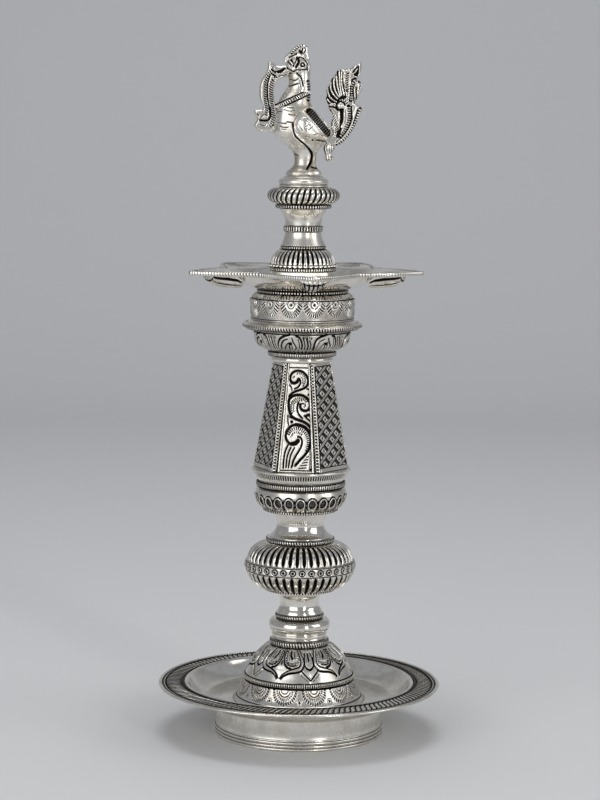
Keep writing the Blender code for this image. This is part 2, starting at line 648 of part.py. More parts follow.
def build_pillar(z, silver, brass):
    """Petal cup, hexagonal pillar, leaf cup, flange and drum. Returns the top face's height."""
    bush_bore = BUSH_RADIUS + GAP
    ring("cup_rope_ring", CUP_RING_RADIUS, CUP_RING_HEIGHT, bush_bore, z, MEDIUM_SIDES, silver)
    bush_low = z
    low = z + CUP_RING_HEIGHT + GAP
    bush_seat = low + FLOOR + GAP
    outline = [
        (SCREW_RADIUS + GAP, bush_low), (BUSH_RADIUS, bush_low), (BUSH_RADIUS, bush_seat),
        (BUSH_FLANGE_RADIUS, bush_seat), (BUSH_FLANGE_RADIUS, bush_seat + BUSH_FLANGE),
        (SCREW_RADIUS + GAP, bush_seat + BUSH_FLANGE + CUP_BUSH_COLLAR),
    ]
    turned("cup_bush", outline, ROD_SIDES, brass)
    side = smooth(
        [
            (CUP_RING_RADIUS - LEDGE, low),
            (CUP_RADIUS * 0.95, low + CUP_HEIGHT * 0.34),
            (CUP_RADIUS, low + CUP_HEIGHT),
        ],
        3,
    )
    turned("petal_cup", floored(side, bush_bore, floor_low=True), MEDIUM_SIDES, silver)
    low += CUP_HEIGHT + GAP
    rope_bore = CUP_RADIUS - 3 * WALL
    ring("cup_rope_collar", ROPE_RING_RADIUS, ROPE_RING_HEIGHT, rope_bore, low, MEDIUM_SIDES, silver,
         ROPE_RING_BULGE)
    low += ROPE_RING_HEIGHT + GAP
    moulding = [
        (MOULDING_WAIST_RADIUS, low),
        (MOULDING_WAIST_RADIUS + LEDGE, low + MOULDING_HEIGHT * 0.35),
        (MOULDING_LIP_RADIUS - LEDGE, low + MOULDING_HEIGHT * 0.72),
        (MOULDING_LIP_RADIUS, low + MOULDING_HEIGHT * 0.86),
        (MOULDING_LIP_RADIUS - LEDGE, low + MOULDING_HEIGHT),
    ]
    turned("pillar_moulding", floored(moulding, rope_bore - WALL, floor_high=True), MEDIUM_SIDES, silver)
    low += MOULDING_HEIGHT + GAP

    slope = (PILLAR_FOOT_RADIUS - PILLAR_TOP_RADIUS) / PILLAR_HEIGHT
    wall = WALL / math.cos(math.pi / 6)
    pillar_bore = PILLAR_TOP_RADIUS - 4 * wall
    outline = [
        (PILLAR_FOOT_RADIUS, low),
        (PILLAR_TOP_RADIUS, low + PILLAR_HEIGHT),
        (pillar_bore, low + PILLAR_HEIGHT),
        (pillar_bore, low + PILLAR_HEIGHT - FLOOR),
        (PILLAR_TOP_RADIUS + slope * FLOOR - wall, low + PILLAR_HEIGHT - FLOOR),
        (PILLAR_FOOT_RADIUS - wall, low),
    ]
    turned("pillar", outline, 6, silver, turn=PILLAR_TURN)
    low += PILLAR_HEIGHT + GAP
    ring("pillar_ring", PILLAR_RING_RADIUS, PILLAR_RING_HEIGHT, pillar_bore, low, MEDIUM_SIDES, silver)
    low += PILLAR_RING_HEIGHT + GAP
    ring("pillar_bead_ring", PILLAR_BEAD_RADIUS, PILLAR_BEAD_HEIGHT, pillar_bore, low, MEDIUM_SIDES, silver)
    low += PILLAR_BEAD_HEIGHT + GAP
    side = smooth(
        [
            (LEAF_CUP_FOOT_RADIUS, low),
            (LEAF_CUP_RADIUS * 0.925, low + LEAF_CUP_HEIGHT * 0.40),
            (LEAF_CUP_RADIUS, low + LEAF_CUP_HEIGHT),
        ],
        3,
    )
    turned("leaf_cup", floored(side, pillar_bore, floor_low=True), MEDIUM_SIDES, silver)
    low += LEAF_CUP_HEIGHT + GAP
    flange_bore = LEAF_CUP_RADIUS - 3 * WALL
    flange = [
        (flange_bore, low),
        (FLANGE_RADIUS - FLANGE_LIP, low),
        (FLANGE_RADIUS - FLANGE_LIP * 0.40, low + FLANGE_HEIGHT * 0.45),
        (FLANGE_RADIUS, low + FLANGE_HEIGHT * 0.75),
        (FLANGE_RADIUS - FLANGE_LIP * 0.13, low + FLANGE_HEIGHT),
        (DRUM_RADIUS + 3 * LEDGE, low + FLANGE_HEIGHT + CAVETTO_HEIGHT * 0.35),
        (DRUM_RADIUS + GAP, low + FLANGE_HEIGHT + CAVETTO_HEIGHT),
        (flange_bore, low + FLANGE_HEIGHT + CAVETTO_HEIGHT),
    ]
    turned("rope_flange", flange, MEDIUM_SIDES, silver)
    low += FLANGE_HEIGHT + CAVETTO_HEIGHT + GAP
    top = low + DRUM_HEIGHT
    side = [
        (DRUM_RADIUS, low),
        (DRUM_RADIUS, top - DRUM_SHOULDER),
        (DRUM_RADIUS - DRUM_SHOULDER * 0.30, top - DRUM_SHOULDER * 0.35),
        (DRUM_RADIUS - DRUM_SHOULDER * 0.85, top),
    ]
    turned("drum", floored(side, bush_bore, floor_high=True), MEDIUM_SIDES, silver)
    neck_bush(top, top - FLOOR - GAP, "drum_bush", brass)
    return top


def dish_edge(angle):
    """The radius of the dish's rim: five points with hollow sides between them."""
    sector = 2 * math.pi / SPOUTS
    off = (angle - SPOUT_TURN + sector / 2) % sector - sector / 2
    share = 1 - abs(off) / (sector / 2)
    return DISH_VALLEY_RADIUS + (DISH_TIP_RADIUS - DISH_VALLEY_RADIUS) * share**SPOUT_POWER, share


def build_dish(z, silver, brass):
    """The oil dish, the seat ring under it and its spout leaves. Returns the height of the dish's floor."""
    bush_bore = BUSH_RADIUS + GAP
    ring("dish_bead_ring", DISH_SEAT_RADIUS, DISH_SEAT_HEIGHT, bush_bore, z, MEDIUM_SIDES, silver)
    floor = z + DISH_SEAT_HEIGHT + GAP
    floor_top = floor + WALL
    rim = floor_top + DISH_DEPTH
    bowl = DISH_BOWL_RADIUS

    def profile(angle):
        edge, share = dish_edge(angle)
        trough = SPOUT_TROUGH * share**3
        mid = (bowl + edge) / 2
        return [
            (bush_bore, floor),
            (DISH_FLOOR_RADIUS, floor),
            (bowl * 0.86, floor + DISH_DEPTH * 0.36),
            (bowl, rim - WALL - DISH_DEPTH * 0.22),
            (mid, rim - WALL - trough),
            (edge - WALL, rim - WALL - trough),
            (edge - WALL, rim - DISH_EDGE),
            (edge, rim - DISH_EDGE),
            (edge, rim),
            (edge - 1.2 * WALL, rim),
            (mid, rim - trough),
            (bowl - 0.5 * WALL, rim - DISH_DEPTH * 0.15),
            (bowl * 0.83, floor_top + DISH_DEPTH * 0.36),
            (DISH_FLOOR_RADIUS, floor_top),
            (bush_bore, floor_top),
        ]

    points, faces = [], []
    for column in range(DISH_COLUMNS):
        angle = SPOUT_TURN + 2 * math.pi * column / DISH_COLUMNS
        points += [(r * math.cos(angle), r * math.sin(angle), h) for r, h in profile(angle)]
    rows = len(profile(0))
    for column in range(DISH_COLUMNS):
        here, after = column * rows, (column + 1) % DISH_COLUMNS * rows
        for row in range(rows):
            up = (row + 1) % rows
            faces.append([here + row, after + row, after + up, here + up])
    mesh_object("oil_dish", points, faces, silver)

    for number in range(SPOUTS):
        angle = SPOUT_TURN + 2 * math.pi * number / SPOUTS
        spout_leaf(f"spout_leaf_{number + 1}", angle, rim, silver)

    bore = SCREW_RADIUS + GAP
    high = z + DISH_BUSH_LENGTH
    seat = floor_top + GAP
    outline = [
        (bore, z), (BUSH_RADIUS, z), (BUSH_RADIUS, seat), (BUSH_FLANGE_RADIUS, seat),
        (BUSH_FLANGE_RADIUS, seat + DISH_FLANGE), (BUSH_RADIUS, seat + DISH_FLANGE),
        (BUSH_RADIUS, high), (bore, high),
    ]
    turned("dish_bush", outline, ROD_SIDES, brass)
    return floor_top, high


def spout_leaf(name, angle, rim, silver):
    """A pointed leaf under a spout, from the bowl's side outwards, with its top flat under the rim."""
    start = DISH_BOWL_RADIUS + LEDGE
    rows, half_steps = 6, 2
    bend = (DISH_BOWL_RADIUS + DISH_TIP_RADIUS) / 2
    lip = DISH_DEPTH * 0.22
    points, faces = [], []
    for row in range(rows + 1):
        share = row / rows
        width = SPOUT_LEAF_WIDTH / 2 * math.sin(math.pi * (0.12 + 0.86 * share)) ** 0.8
        depth = SPOUT_LEAF_DEPTH * (1 - share) ** 0.8 + GAP
        out = start + SPOUT_LEAF_LENGTH * share
        climb = min((out - DISH_BOWL_RADIUS) / (bend - DISH_BOWL_RADIUS), 1)
        top = rim - WALL - lip - (SPOUT_TROUGH - lip) * climb - GAP
        for k in range(-half_steps, half_steps + 1):
            across = k / half_steps
            points.append((out, width * across, top - depth * (1 - across * across) - GAP))
        for k in range(half_steps, -half_steps - 1, -2 * half_steps):
            points.append((out, width * k / half_steps, top))
    count = 2 * half_steps + 3
    for row in range(rows):
        for k in range(count):
            after = (k + 1) % count
            low, high = row * count, (row + 1) * count
            faces.append([low + k, low + after, high + after, high + k])
    faces.append(list(range(count))[::-1])
    faces.append([rows * count + k for k in range(count)])
    made = mesh_object(name, points, faces, silver)
    made.rotation_euler.z = angle
    return made


def build_stem(z, dish_bush_high, silver, brass):
    """The stem on the dish's floor, up to the plinth under the swan. Returns the plinth's top."""
    bush_bore = BUSH_RADIUS + GAP
    low = z + STEM_COLLAR_HEIGHT
    bead = STEM_FOOT_RING_RADIUS - STEM_COLLAR_RADIUS
    outline = [(bush_bore, z), (STEM_COLLAR_RADIUS, z)]
    outline += raised(arc(STEM_COLLAR_RADIUS, STEM_FOOT_RING_HEIGHT, bead, 3), low)
    outline += [(bush_bore, low + STEM_FOOT_RING_HEIGHT)]
    flange_room = DISH_FLANGE + 2 * GAP
    flange_bore = BUSH_FLANGE_RADIUS + GAP
    outline[0] = (flange_bore, z)
    outline = [(bush_bore, z + flange_room), (flange_bore, z + flange_room)] + outline
    turned("stem_foot", outline, MEDIUM_SIDES, silver)
    low += STEM_FOOT_RING_HEIGHT + GAP
    side = [(STEM_DOME_RADIUS, low), (STEM_DOME_RADIUS, low + STEM_RIM_HEIGHT)]
    side += smooth(
        [
            (STEM_DOME_RADIUS - 2 * LEDGE, low + STEM_RIM_HEIGHT + GAP),
            (STEM_DOME_RADIUS * 0.88, low + STEM_DOME_HEIGHT * 0.60),
            (STEM_DOME_TOP_RADIUS, low + STEM_DOME_HEIGHT),
        ],
        2,
    )
    outline = side + [(bush_bore, low + STEM_DOME_HEIGHT), (bush_bore, low)]
    turned("stem_dome", outline, 2 * STEM_FLUTES, silver, fluted((2, 6, STEM_FLUTES), STEM_FLUTE_DEPTH))
    low += STEM_DOME_HEIGHT + GAP
    ring("stem_rope_ring", STEM_RING_RADIUS, STEM_RING_HEIGHT, bush_bore, low, SMALL_SIDES, silver)
    low += STEM_RING_HEIGHT + GAP
    side = smooth(
        [
            (STEM_LOWER_FOOT_RADIUS, low),
            (STEM_WAIST_RADIUS + LEDGE, low + STEM_LOWER_HEIGHT * 0.6),
            (STEM_WAIST_RADIUS, low + STEM_LOWER_HEIGHT),
        ],
        2,
    )
    turned("stem_lower_neck", floored(side, bush_bore, floor_high=True), SMALL_SIDES, silver)
    low += STEM_LOWER_HEIGHT + GAP
    ring("stem_band", STEM_BAND_RADIUS, STEM_BAND_HEIGHT, bush_bore, low, SMALL_SIDES, silver,
         STEM_BAND_BULGE)
    low += STEM_BAND_HEIGHT + GAP
    stud_bore = SWAN_STUD_RADIUS + GAP
    side = smooth(
        [
            (STEM_WAIST_RADIUS, low),
            (STEM_WAIST_RADIUS + 2 * LEDGE, low + STEM_UPPER_HEIGHT * 0.55),
            (STEM_UPPER_TOP_RADIUS, low + STEM_UPPER_HEIGHT),
        ],
        2,
    )
    neck = floored(side, stud_bore, floor_low=True, floor_high=True)
    turned("stem_upper_neck", neck, SMALL_SIDES, silver)

    core_low = dish_bush_high + GAP
    core_high = low - GAP
    bore = SCREW_RADIUS + GAP
    blind = core_low + SCREW_GRIP + 2 * GAP
    core = [
        (0, blind), (bore, blind), (bore, core_low), (BUSH_RADIUS, core_low), (BUSH_RADIUS, core_high),
        (SWAN_STUD_RADIUS, core_high),
    ]

    low += STEM_UPPER_HEIGHT + GAP
    ring("stem_bead_collar", STEM_BEAD_RADIUS, STEM_BEAD_HEIGHT, stud_bore, low, SMALL_SIDES, silver)
    low += STEM_BEAD_HEIGHT + GAP
    side = raised(arc(TWIST_LANDING_RADIUS, TWIST_HEIGHT, TWIST_RADIUS - TWIST_LANDING_RADIUS, 4), low)
    outline = side + [(stud_bore, low + TWIST_HEIGHT), (stud_bore, low)]
    turned("twisted_collar", outline, 2 * TWIST_FLUTES, silver,
           fluted((0, 4, TWIST_FLUTES), TWIST_FLUTE_DEPTH, TWIST_LEAN))
    low += TWIST_HEIGHT + GAP
    top = low + PLINTH_RING_HEIGHT + PLINTH_HEIGHT
    step = low + PLINTH_RING_HEIGHT
    plinth = [
        (stud_bore, low),
        (PLINTH_RING_RADIUS, low),
        (PLINTH_RING_RADIUS, step - PLINTH_RING_HEIGHT * 0.4),
        (PLINTH_RADIUS - LEDGE, step),
        (PLINTH_RADIUS, step + PLINTH_HEIGHT * 0.12),
        (PLINTH_RADIUS, step + PLINTH_HEIGHT * 0.52),
        (PLINTH_RADIUS - 1.5 * LEDGE, step + PLINTH_HEIGHT * 0.68),
        (PLINTH_RADIUS - PLINTH_SHOULDER * 0.76, step + PLINTH_HEIGHT * 0.84),
        (PLINTH_RADIUS - PLINTH_SHOULDER, top),
        (stud_bore, top),
    ]
    turned("swan_plinth", plinth, MEDIUM_SIDES, silver)
    core += [(SWAN_STUD_RADIUS, top), (0, top)]
    turned("stem_core", core, ROD_SIDES, brass)
    return top


def swan_stations(z):
    """The swan's body from its foot to the top of its head: x, z, half depth in the side view, half width."""
    foot, back = SWAN_FOOT_RADIUS, SWAN_DEPTH / 2
    wide = SWAN_WIDTH / 2
    tall = SWAN_HEIGHT
    shape = [
        (0.0, 0.000, foot, foot * 0.82),
        (0.0, 0.028, foot * 0.97, foot * 0.80),
        (0.4, 0.075, foot * 0.64, foot * 0.56),
        (0.7, 0.130, foot * 0.60, foot * 0.54),
        (0.5, 0.190, foot * 0.74, wide * 0.62),
        (-0.2, 0.260, back * 0.76, wide * 0.86),
        (-1.2, 0.325, back, wide),
        (-2.6, 0.400, back * 0.92, wide),
        (-4.6, 0.470, back * 0.74, wide * 0.90),
        (-5.8, 0.545, back * 0.58, wide * 0.74),
        (-4.6, 0.615, back * 0.49, wide * 0.64),
        (-2.9, 0.690, back * 0.38, wide * 0.57),
        (-3.2, 0.765, back * 0.38, wide * 0.57),
        (-3.8, 0.835, back * 0.43, wide * 0.58),
        (-4.3, 0.890, back * 0.35, wide * 0.48),
        (-4.4, 0.925, back * 0.20, wide * 0.28),
    ]
    return [(x * 0.001, z + share * tall, half, side) for x, share, half, side in shape]


def swan_outline(points, z):
    """Side-view points of a flat swan piece, drawn in millimetres from the lamp's axis and plinth."""
    return [(x * SWAN_SCALE, z + up * SWAN_SCALE) for x, up in points]


def build_swan(z, silver):
    """The swan and its pieces, each trimmed to stand just off the body."""
    stations = swan_stations(z)
    loft("swan_body", stations, silver)
    body_room = loft("body_room", stations, silver, grow=GAP)
    crest = [
        (-10.8, 63.8), (-10.6, 66.0), (-5.0, 71.6), (-1.6, 73.4), (1.4, 72.2), (1.8, 68.4), (2.4, 64.4),
        (-2.0, 58.0), (-5.5, 60.0),
    ]
    garland = [
        (-9.9, 62.0), (-14.9, 61.6), (-19.9, 63.7), (-20.6, 58.4), (-23.7, 53.4), (-24.4, 49.0),
        (-23.9, 43.0), (-22.5, 37.6), (-27.4, 36.0), (-25.7, 31.4), (-27.9, 28.0), (-23.8, 24.6),
        (-17.6, 25.1), (-12.0, 27.0), (-12.0, 34.0), (-15.4, 40.6), (-16.8, 46.8), (-16.1, 51.8),
        (-13.2, 55.6), (-8.0, 57.0),
    ]
    tail = [
        (13.0, 17.6), (19.4, 17.5), (24.8, 22.3), (29.3, 29.7), (32.4, 37.9), (28.4, 40.8), (30.0, 44.6),
        (32.0, 48.8), (31.6, 52.8), (29.4, 54.2), (31.1, 56.2), (31.6, 63.8), (24.6, 59.6), (18.3, 59.0),
        (14.8, 54.0), (12.3, 48.4), (11.7, 42.2), (13.6, 37.8), (15.9, 34.2), (14.9, 28.0), (15.8, 23.6),
        (10.0, 21.0),
    ]
    garland_line = swan_outline(garland, z)
    tail_line = swan_outline(tail, z)
    garland_room = room("garland_room", garland_line, GARLAND_THICKNESS, silver)
    tail_room = room("tail_room", tail_line, TAIL_THICKNESS, silver)
    pieces = [
        plate("swan_crest", swan_outline(crest[::-1], z), CREST_THICKNESS, silver),
        plate("swan_garland", garland_line, GARLAND_THICKNESS, silver),
        plate("swan_tail", tail_line, TAIL_THICKNESS, silver),
    ]
    for side, name in ((-1, "swan_wing_left"), (1, "swan_wing_right")):
        wing = loft(name, wing_stations(z, side), silver, sides=12)
        pieces.append(boolean(wing, tail_room, "DIFFERENCE"))
    pieces.append(boolean(necklace(z, silver), garland_room, "DIFFERENCE"))
    tassel = loft("swan_tassel", tassel_stations(z), silver, sides=8)
    pieces.append(boolean(tassel, tail_room, "DIFFERENCE"))
    for piece in pieces:
        boolean(piece, body_room, "DIFFERENCE")


def main():
    clear_scene()
    silver = material("silver", (0.80, 0.78, 0.73), 0.22)
    brass = material("brass", (0.72, 0.53, 0.26), 0.35)
    steel = material("steel", (0.55, 0.55, 0.56), 0.35)
    base_top = build_base(silver, brass, steel)
    bulb_low = base_top + GAP
    bulb_top = build_bulb(bulb_low, silver, brass)
    pillar_low = bulb_top + GAP
    pillar_top = build_pillar(pillar_low, silver, brass)
    dish_low = pillar_top + GAP
    dish_floor, dish_bush_high = build_dish(dish_low, silver, brass)
    plinth_top = build_stem(dish_floor + GAP, dish_bush_high, silver, brass)
    build_swan(plinth_top + GAP, silver)
    joining_screw("base_screw", base_top + GAP / 2, brass)
    joining_screw("bulb_screw", bulb_top + GAP / 2, brass)
    joining_screw("drum_screw", pillar_top + GAP / 2, brass)
    joining_screw("stem_screw", dish_bush_high + GAP / 2, brass)


main()
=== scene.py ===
"""Looks for the swan oil lamp: chased and blackened silver over the CAD frame.

Sizes are in millimetres until a mesh is made. A turned piece is a fine grid round the lamp's axis: its
pattern pushes the grid in and out and marks the recesses, and the silver blackens what is marked, save the
grey ground of the drum's fans, which is painted shade. Angle 0 is the front (-Y) and grows towards +X, and
heights in an outline or a pattern are above the piece's foot.
"""

import json
import math

import bmesh
import bpy
import numpy as np
from bpy.props import FloatProperty, FloatVectorProperty, IntProperty, PointerProperty
from mathutils import Matrix, Vector
from mathutils.geometry import delaunay_2d_cdt


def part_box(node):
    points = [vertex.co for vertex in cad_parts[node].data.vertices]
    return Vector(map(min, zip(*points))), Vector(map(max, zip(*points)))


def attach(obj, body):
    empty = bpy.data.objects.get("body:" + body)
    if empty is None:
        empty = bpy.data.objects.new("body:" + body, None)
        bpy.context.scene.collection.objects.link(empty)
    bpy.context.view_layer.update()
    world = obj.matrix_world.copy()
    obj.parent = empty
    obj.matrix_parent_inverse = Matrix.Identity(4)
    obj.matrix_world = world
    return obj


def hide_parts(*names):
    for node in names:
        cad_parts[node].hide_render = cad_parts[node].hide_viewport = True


bl_info = {
    "name": "Swan Oil Lamp",
    "version": (1, 0, 0),
    "blender": (4, 5, 0),
    "location": "View3D > Sidebar > Swan Lamp",
    "description": "Chased silver looks for a swan oil lamp, built over its CAD frame",
    "category": "Object",
}

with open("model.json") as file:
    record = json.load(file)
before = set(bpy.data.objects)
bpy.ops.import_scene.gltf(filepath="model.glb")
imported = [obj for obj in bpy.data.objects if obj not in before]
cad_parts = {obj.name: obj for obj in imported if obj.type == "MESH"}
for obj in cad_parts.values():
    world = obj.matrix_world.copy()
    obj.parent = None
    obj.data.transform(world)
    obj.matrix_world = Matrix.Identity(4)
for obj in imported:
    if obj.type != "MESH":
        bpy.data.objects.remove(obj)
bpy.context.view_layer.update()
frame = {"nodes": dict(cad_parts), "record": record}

MM = 0.001
TAU = 2 * math.pi
MARK = "recess"
BODY_OF = {node: body for body, nodes in frame["record"]["behaviour"]["bodies"].items() for node in nodes}


def box(node):
    """Lowest and highest corner of a CAD node."""
    return [np.array(corner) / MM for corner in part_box(node)]


def size(node):
    """Outer radius and height of a turned CAD node."""
    low, high = box(node)
    return max(high[0], -low[0]), high[2] - low[2]


def curve(points, steps=8):
    """A smooth line through points, or a smooth run of rows through rows of points."""
    p = np.array([points[0], *points, points[-1]], dtype=float)
    t = (np.arange(steps) / steps).reshape(-1, *[1] * (p.ndim - 1))
    runs = [0.5 * (2 * b + (c - a) * t + (2 * a - 5 * b + 4 * c - d) * t**2 + (3 * b - a - 3 * c + d) * t**3)
            for a, b, c, d in zip(p, p[1:], p[2:], p[3:])]
    return np.concatenate([*runs, p[-1:]]).tolist()


def bow(radius, low, high, bulge, steps=8):
    """Up a rounded edge that stands out by bulge from the radius."""
    turns = [math.pi * k / steps for k in range(steps + 1)]
    return [(radius + bulge * math.sin(t), (low + high) / 2 - (high - low) / 2 * math.cos(t)) for t in turns]


def spread(points, rows, measured=None):
    """Points at even steps along a line, and the distance of each from its start.

    measured is how many of the coordinates count in the distance."""
    line = np.array(points)
    steps = np.linalg.norm(np.diff(line[:, :measured], axis=0), axis=1)
    along = np.concatenate([[0], np.cumsum(steps)])
    even = np.linspace(0, along[-1], rows)
    return np.column_stack([np.interp(even, along, column) for column in line.T]), even


def ramp(x, low, high):
    """0 below low, 1 above high and smooth between."""
    t = np.clip((x - low) / (high - low), 0, 1)
    return t * t * (3 - 2 * t)


def stroke(distance, width, soft=0.22):
    """1 on a line of that width."""
    return 1 - ramp(np.abs(distance), width / 2 - soft / 2, width / 2 + soft / 2)


def window(x, low, high, soft=0.3):
    return ramp(x, low - soft / 2, low + soft / 2) * (1 - ramp(x, high - soft / 2, high + soft / 2))


def wrapped(x, period=1.0):
    return (x + period / 2) % period - period / 2


def rounded(phase):
    """Rounded ribs side by side, one to a whole number: 1 on the middle of each and 0 between."""
    return np.sqrt(np.clip(1 - (2 * (phase % 1) - 1) ** 2, 0, 1))


def to_line(u, v, line):
    """Each point's distance from a line of (u, v) points, how far along it is nearest, and its side."""
    best = np.full(u.shape, 1e6)
    where = np.zeros(u.shape)
    side = np.ones(u.shape)
    walked = 0.0
    for (ax, ay), (bx, by) in zip(line, line[1:]):
        dx, dy = bx - ax, by - ay
        length = math.hypot(dx, dy)
        if length < 1e-6:
            continue
        t = np.clip(((u - ax) * dx + (v - ay) * dy) / length**2, 0, 1)
        distance = np.hypot(u - ax - t * dx, v - ay - t * dy)
        nearer = distance < best
        best = np.where(nearer, distance, best)
        where = np.where(nearer, walked + t * length, where)
        side = np.where(nearer, np.sign(dx * (v - ay) - dy * (u - ax)), side)
        walked += length
    return best, where, side


def inside(u, v, outline):
    """True where a point lies inside the closed outline."""
    hit = np.zeros(u.shape, dtype=bool)
    for (ax, ay), (bx, by) in zip(outline, outline[1:] + outline[:1]):
        if by != ay:
            hit ^= ((ay > v) != (by > v)) & (u < (bx - ax) * (v - ay) / (by - ay) + ax)
    return hit


class Relief:
    """A chased surface: u and v to draw in, the height out of the surface, and how black each point is.

    facing is 1 where the surface faces the drawing, and the work fades out where it falls to 0."""

    def __init__(self, u, v, facing=1.0, depth=0.45, tick_depth=0.3):
        self.u, self.v, self.facing = u, v, facing
        self.depth, self.tick_depth = depth, tick_depth
        self.top = v.max()
        self.height, self.black = np.zeros(u.shape), np.zeros(u.shape)

    def blacken(self, mask):
        self.black = np.maximum(self.black, mask)

    def cut(self, mask, depth, black=1.0):
        self.height -= mask * depth * self.facing
        self.blacken(mask * black * ramp(self.facing, 0.1, 0.4))

    def raise_up(self, mask, height):
        self.height += mask * height * self.facing
        self.black *= 1 - 0.75 * np.clip(mask, 0, 1) * self.facing

    def near(self, points):
        """Distance from a smooth line through the points, how far along it, and its side."""
        return to_line(self.u, self.v, curve(points, 5) if len(points) > 2 else points)

    def draw(self, points, width, black=1.0, depth=None):
        """Cut a smooth black line."""
        self.cut(stroke(self.near(points)[0], width), depth or self.depth, black)

    def ridge(self, points, width, height):
        self.raise_up(stroke(self.near(points)[0], width), height)

    def bright(self, points, width, height=0.5):
        """Lay a bright rounded line over whatever was cut before."""
        mask = stroke(self.near(points)[0], width, 0.3)
        self.height += mask * height * self.facing
        self.black *= 1 - mask

    def ground(self, points, depth=0.6, black=1.0):
        """Sink and blacken the inside of an outline."""
        distance = to_line(self.u, self.v, points + points[:1])[0]
        self.cut(np.where(inside(self.u, self.v, points), ramp(distance, 0, 0.3), 0), depth, black)

    def comb(self, points, pitch, reach, width=0.6, slant=0.0, black=1.0):
        """Cut ticks across a smooth line. slant leans them, as a share of their length."""
        distance, along, side = self.near(points)
        tick = stroke(wrapped(along + slant * side * distance, pitch), width)
        self.cut(tick * (1 - ramp(distance, 0.85 * reach, reach)), self.tick_depth, black)


class RoundRelief(Relief):
    """Relief round the lamp's axis, with the angle and the radius of each point."""

    def __init__(self, angle, up, radius):
        super().__init__(angle * radius, up)
        self.angle, self.radius = angle, radius

    def repeat(self, count, turn=0.0):
        """Distance round the lamp from the nearest of count meridians."""
        return wrapped(self.angle - turn, TAU / count) * self.radius

    def spaced(self, count, turn=0.0, radius=None):
        """The same as repeat, but measured at one radius, so that shapes narrow with the piece."""
        return wrapped(self.angle - turn, TAU / count) * (radius or self.radius.max())


def ribs(relief, phase, depth, there, low=0.76, high=0.95):
    """Rounded teeth side by side, with black between them."""
    tooth = rounded(phase)
    relief.height -= depth * (1 - tooth) * there
    relief.blacken((1 - ramp(tooth, low, high)) * there)


def rope(relief, count, depth, lean=0.0, first=0.0, last=1.0):
    """Teeth from the first to the last share of the height. lean is in teeth, from the bottom to the top."""
    share = relief.v / relief.top
    ribs(relief, relief.angle / TAU * count + lean * share, depth, window(share, first, last, 0.06))
    for edge in (first, last):
        if 0 < edge < 1:
            relief.blacken(0.95 * stroke(relief.v - edge * relief.top, 0.5))


def flutes(relief, count, depth, black_share, low_round, high_round, turn=0.0, start=0.0):
    """Ribs with black grooves between them, each groove rounded off at its ends."""
    up = np.clip(relief.v - start, 0, None)
    share = up / up.max()
    pitch = TAU / count * relief.radius
    off = np.abs(relief.repeat(count, turn))
    half = pitch * black_share / 2 * np.sqrt(np.clip(share / low_round, 0, 1)
                                             * np.clip((1 - share) / high_round, 0, 1))
    relief.height += depth * 0.9 * (rounded(off / pitch) - 1)
    relief.cut(1 - ramp(off, half - 0.15, half + 0.15), depth * 0.7)


def hatch(relief, count, low, high, depth=0.3):
    """Upright ticks between two heights along the outline."""
    tick = stroke(relief.repeat(count), TAU / count * relief.radius * 0.56, 0.2)
    relief.cut(tick * window(relief.v, low, high), depth)


def ring_line(relief, up, width=0.5, depth=0.25, black=1.0):
    relief.cut(stroke(relief.v - up, width), depth, black)


def petals(relief, count, middle, half_width, half_height):
    """Sunken dark ovals with raised double rims, whose sides run down to the foot."""
    u = np.abs(relief.spaced(count))
    v = relief.v - middle
    oval = np.hypot(u / half_width, v / half_height)
    side = np.where(v < 0, np.minimum(oval, u / half_width * (1 + 0.18 * np.clip(-v / half_height, 0, 1))),
                    oval)
    relief.cut(1 - ramp(oval, 0.78, 0.92), 0.8, 0.62)
    relief.cut(stroke((oval - 0.92) * half_width, 0.45), 0.3)
    relief.raise_up(stroke((side - 1.20) * half_width, 0.7), 0.4)
    relief.cut(stroke((side - 1.48) * half_width, 0.65) * (relief.v > 0.5), 0.35)
    relief.u = relief.spaced(count, TAU / count / 2)
    relief.draw([(0, middle + 0.2 * half_height), (0, middle + 0.9 * half_height)], 0.5)
    relief.draw([(0, 0.3), (0, middle - 0.4 * half_height)], 0.7, 1.0, 0.3)


def sunbursts(relief, count, turn):
    """Half rings hung from the top, with two rows of ticks fanning down below each and a dot between."""
    u = relief.spaced(count, turn)
    v = relief.top - relief.v
    distance = np.hypot(u, v)
    bearing = np.arctan2(u, v)
    below = v > 0.3
    relief.cut(stroke(distance - 4.3, 0.6) * below * (np.abs(u) < 4.0), 0.3)
    relief.cut(stroke(distance - 2.6, 0.5) * below, 0.2, 0.8)
    for low, high, rays, width in ((5.2, 7.0, 15, 0.65), (7.2, 9.7, 18, 0.85)):
        off = wrapped(bearing, math.pi * 1.06 / rays) * distance
        lit = window(distance, low, high - 0.7 * np.abs(bearing))
        relief.cut(stroke(off, width) * lit * (np.abs(bearing) < math.pi * 0.53), 0.3)
    spot = np.hypot(relief.spaced(count, turn + TAU / count / 2), v - 7.2)
    relief.cut(1 - ramp(spot, 0.6, 0.85), 0.4)
    relief.cut(stroke(spot - 1.55, 0.35), 0.2, 0.7)


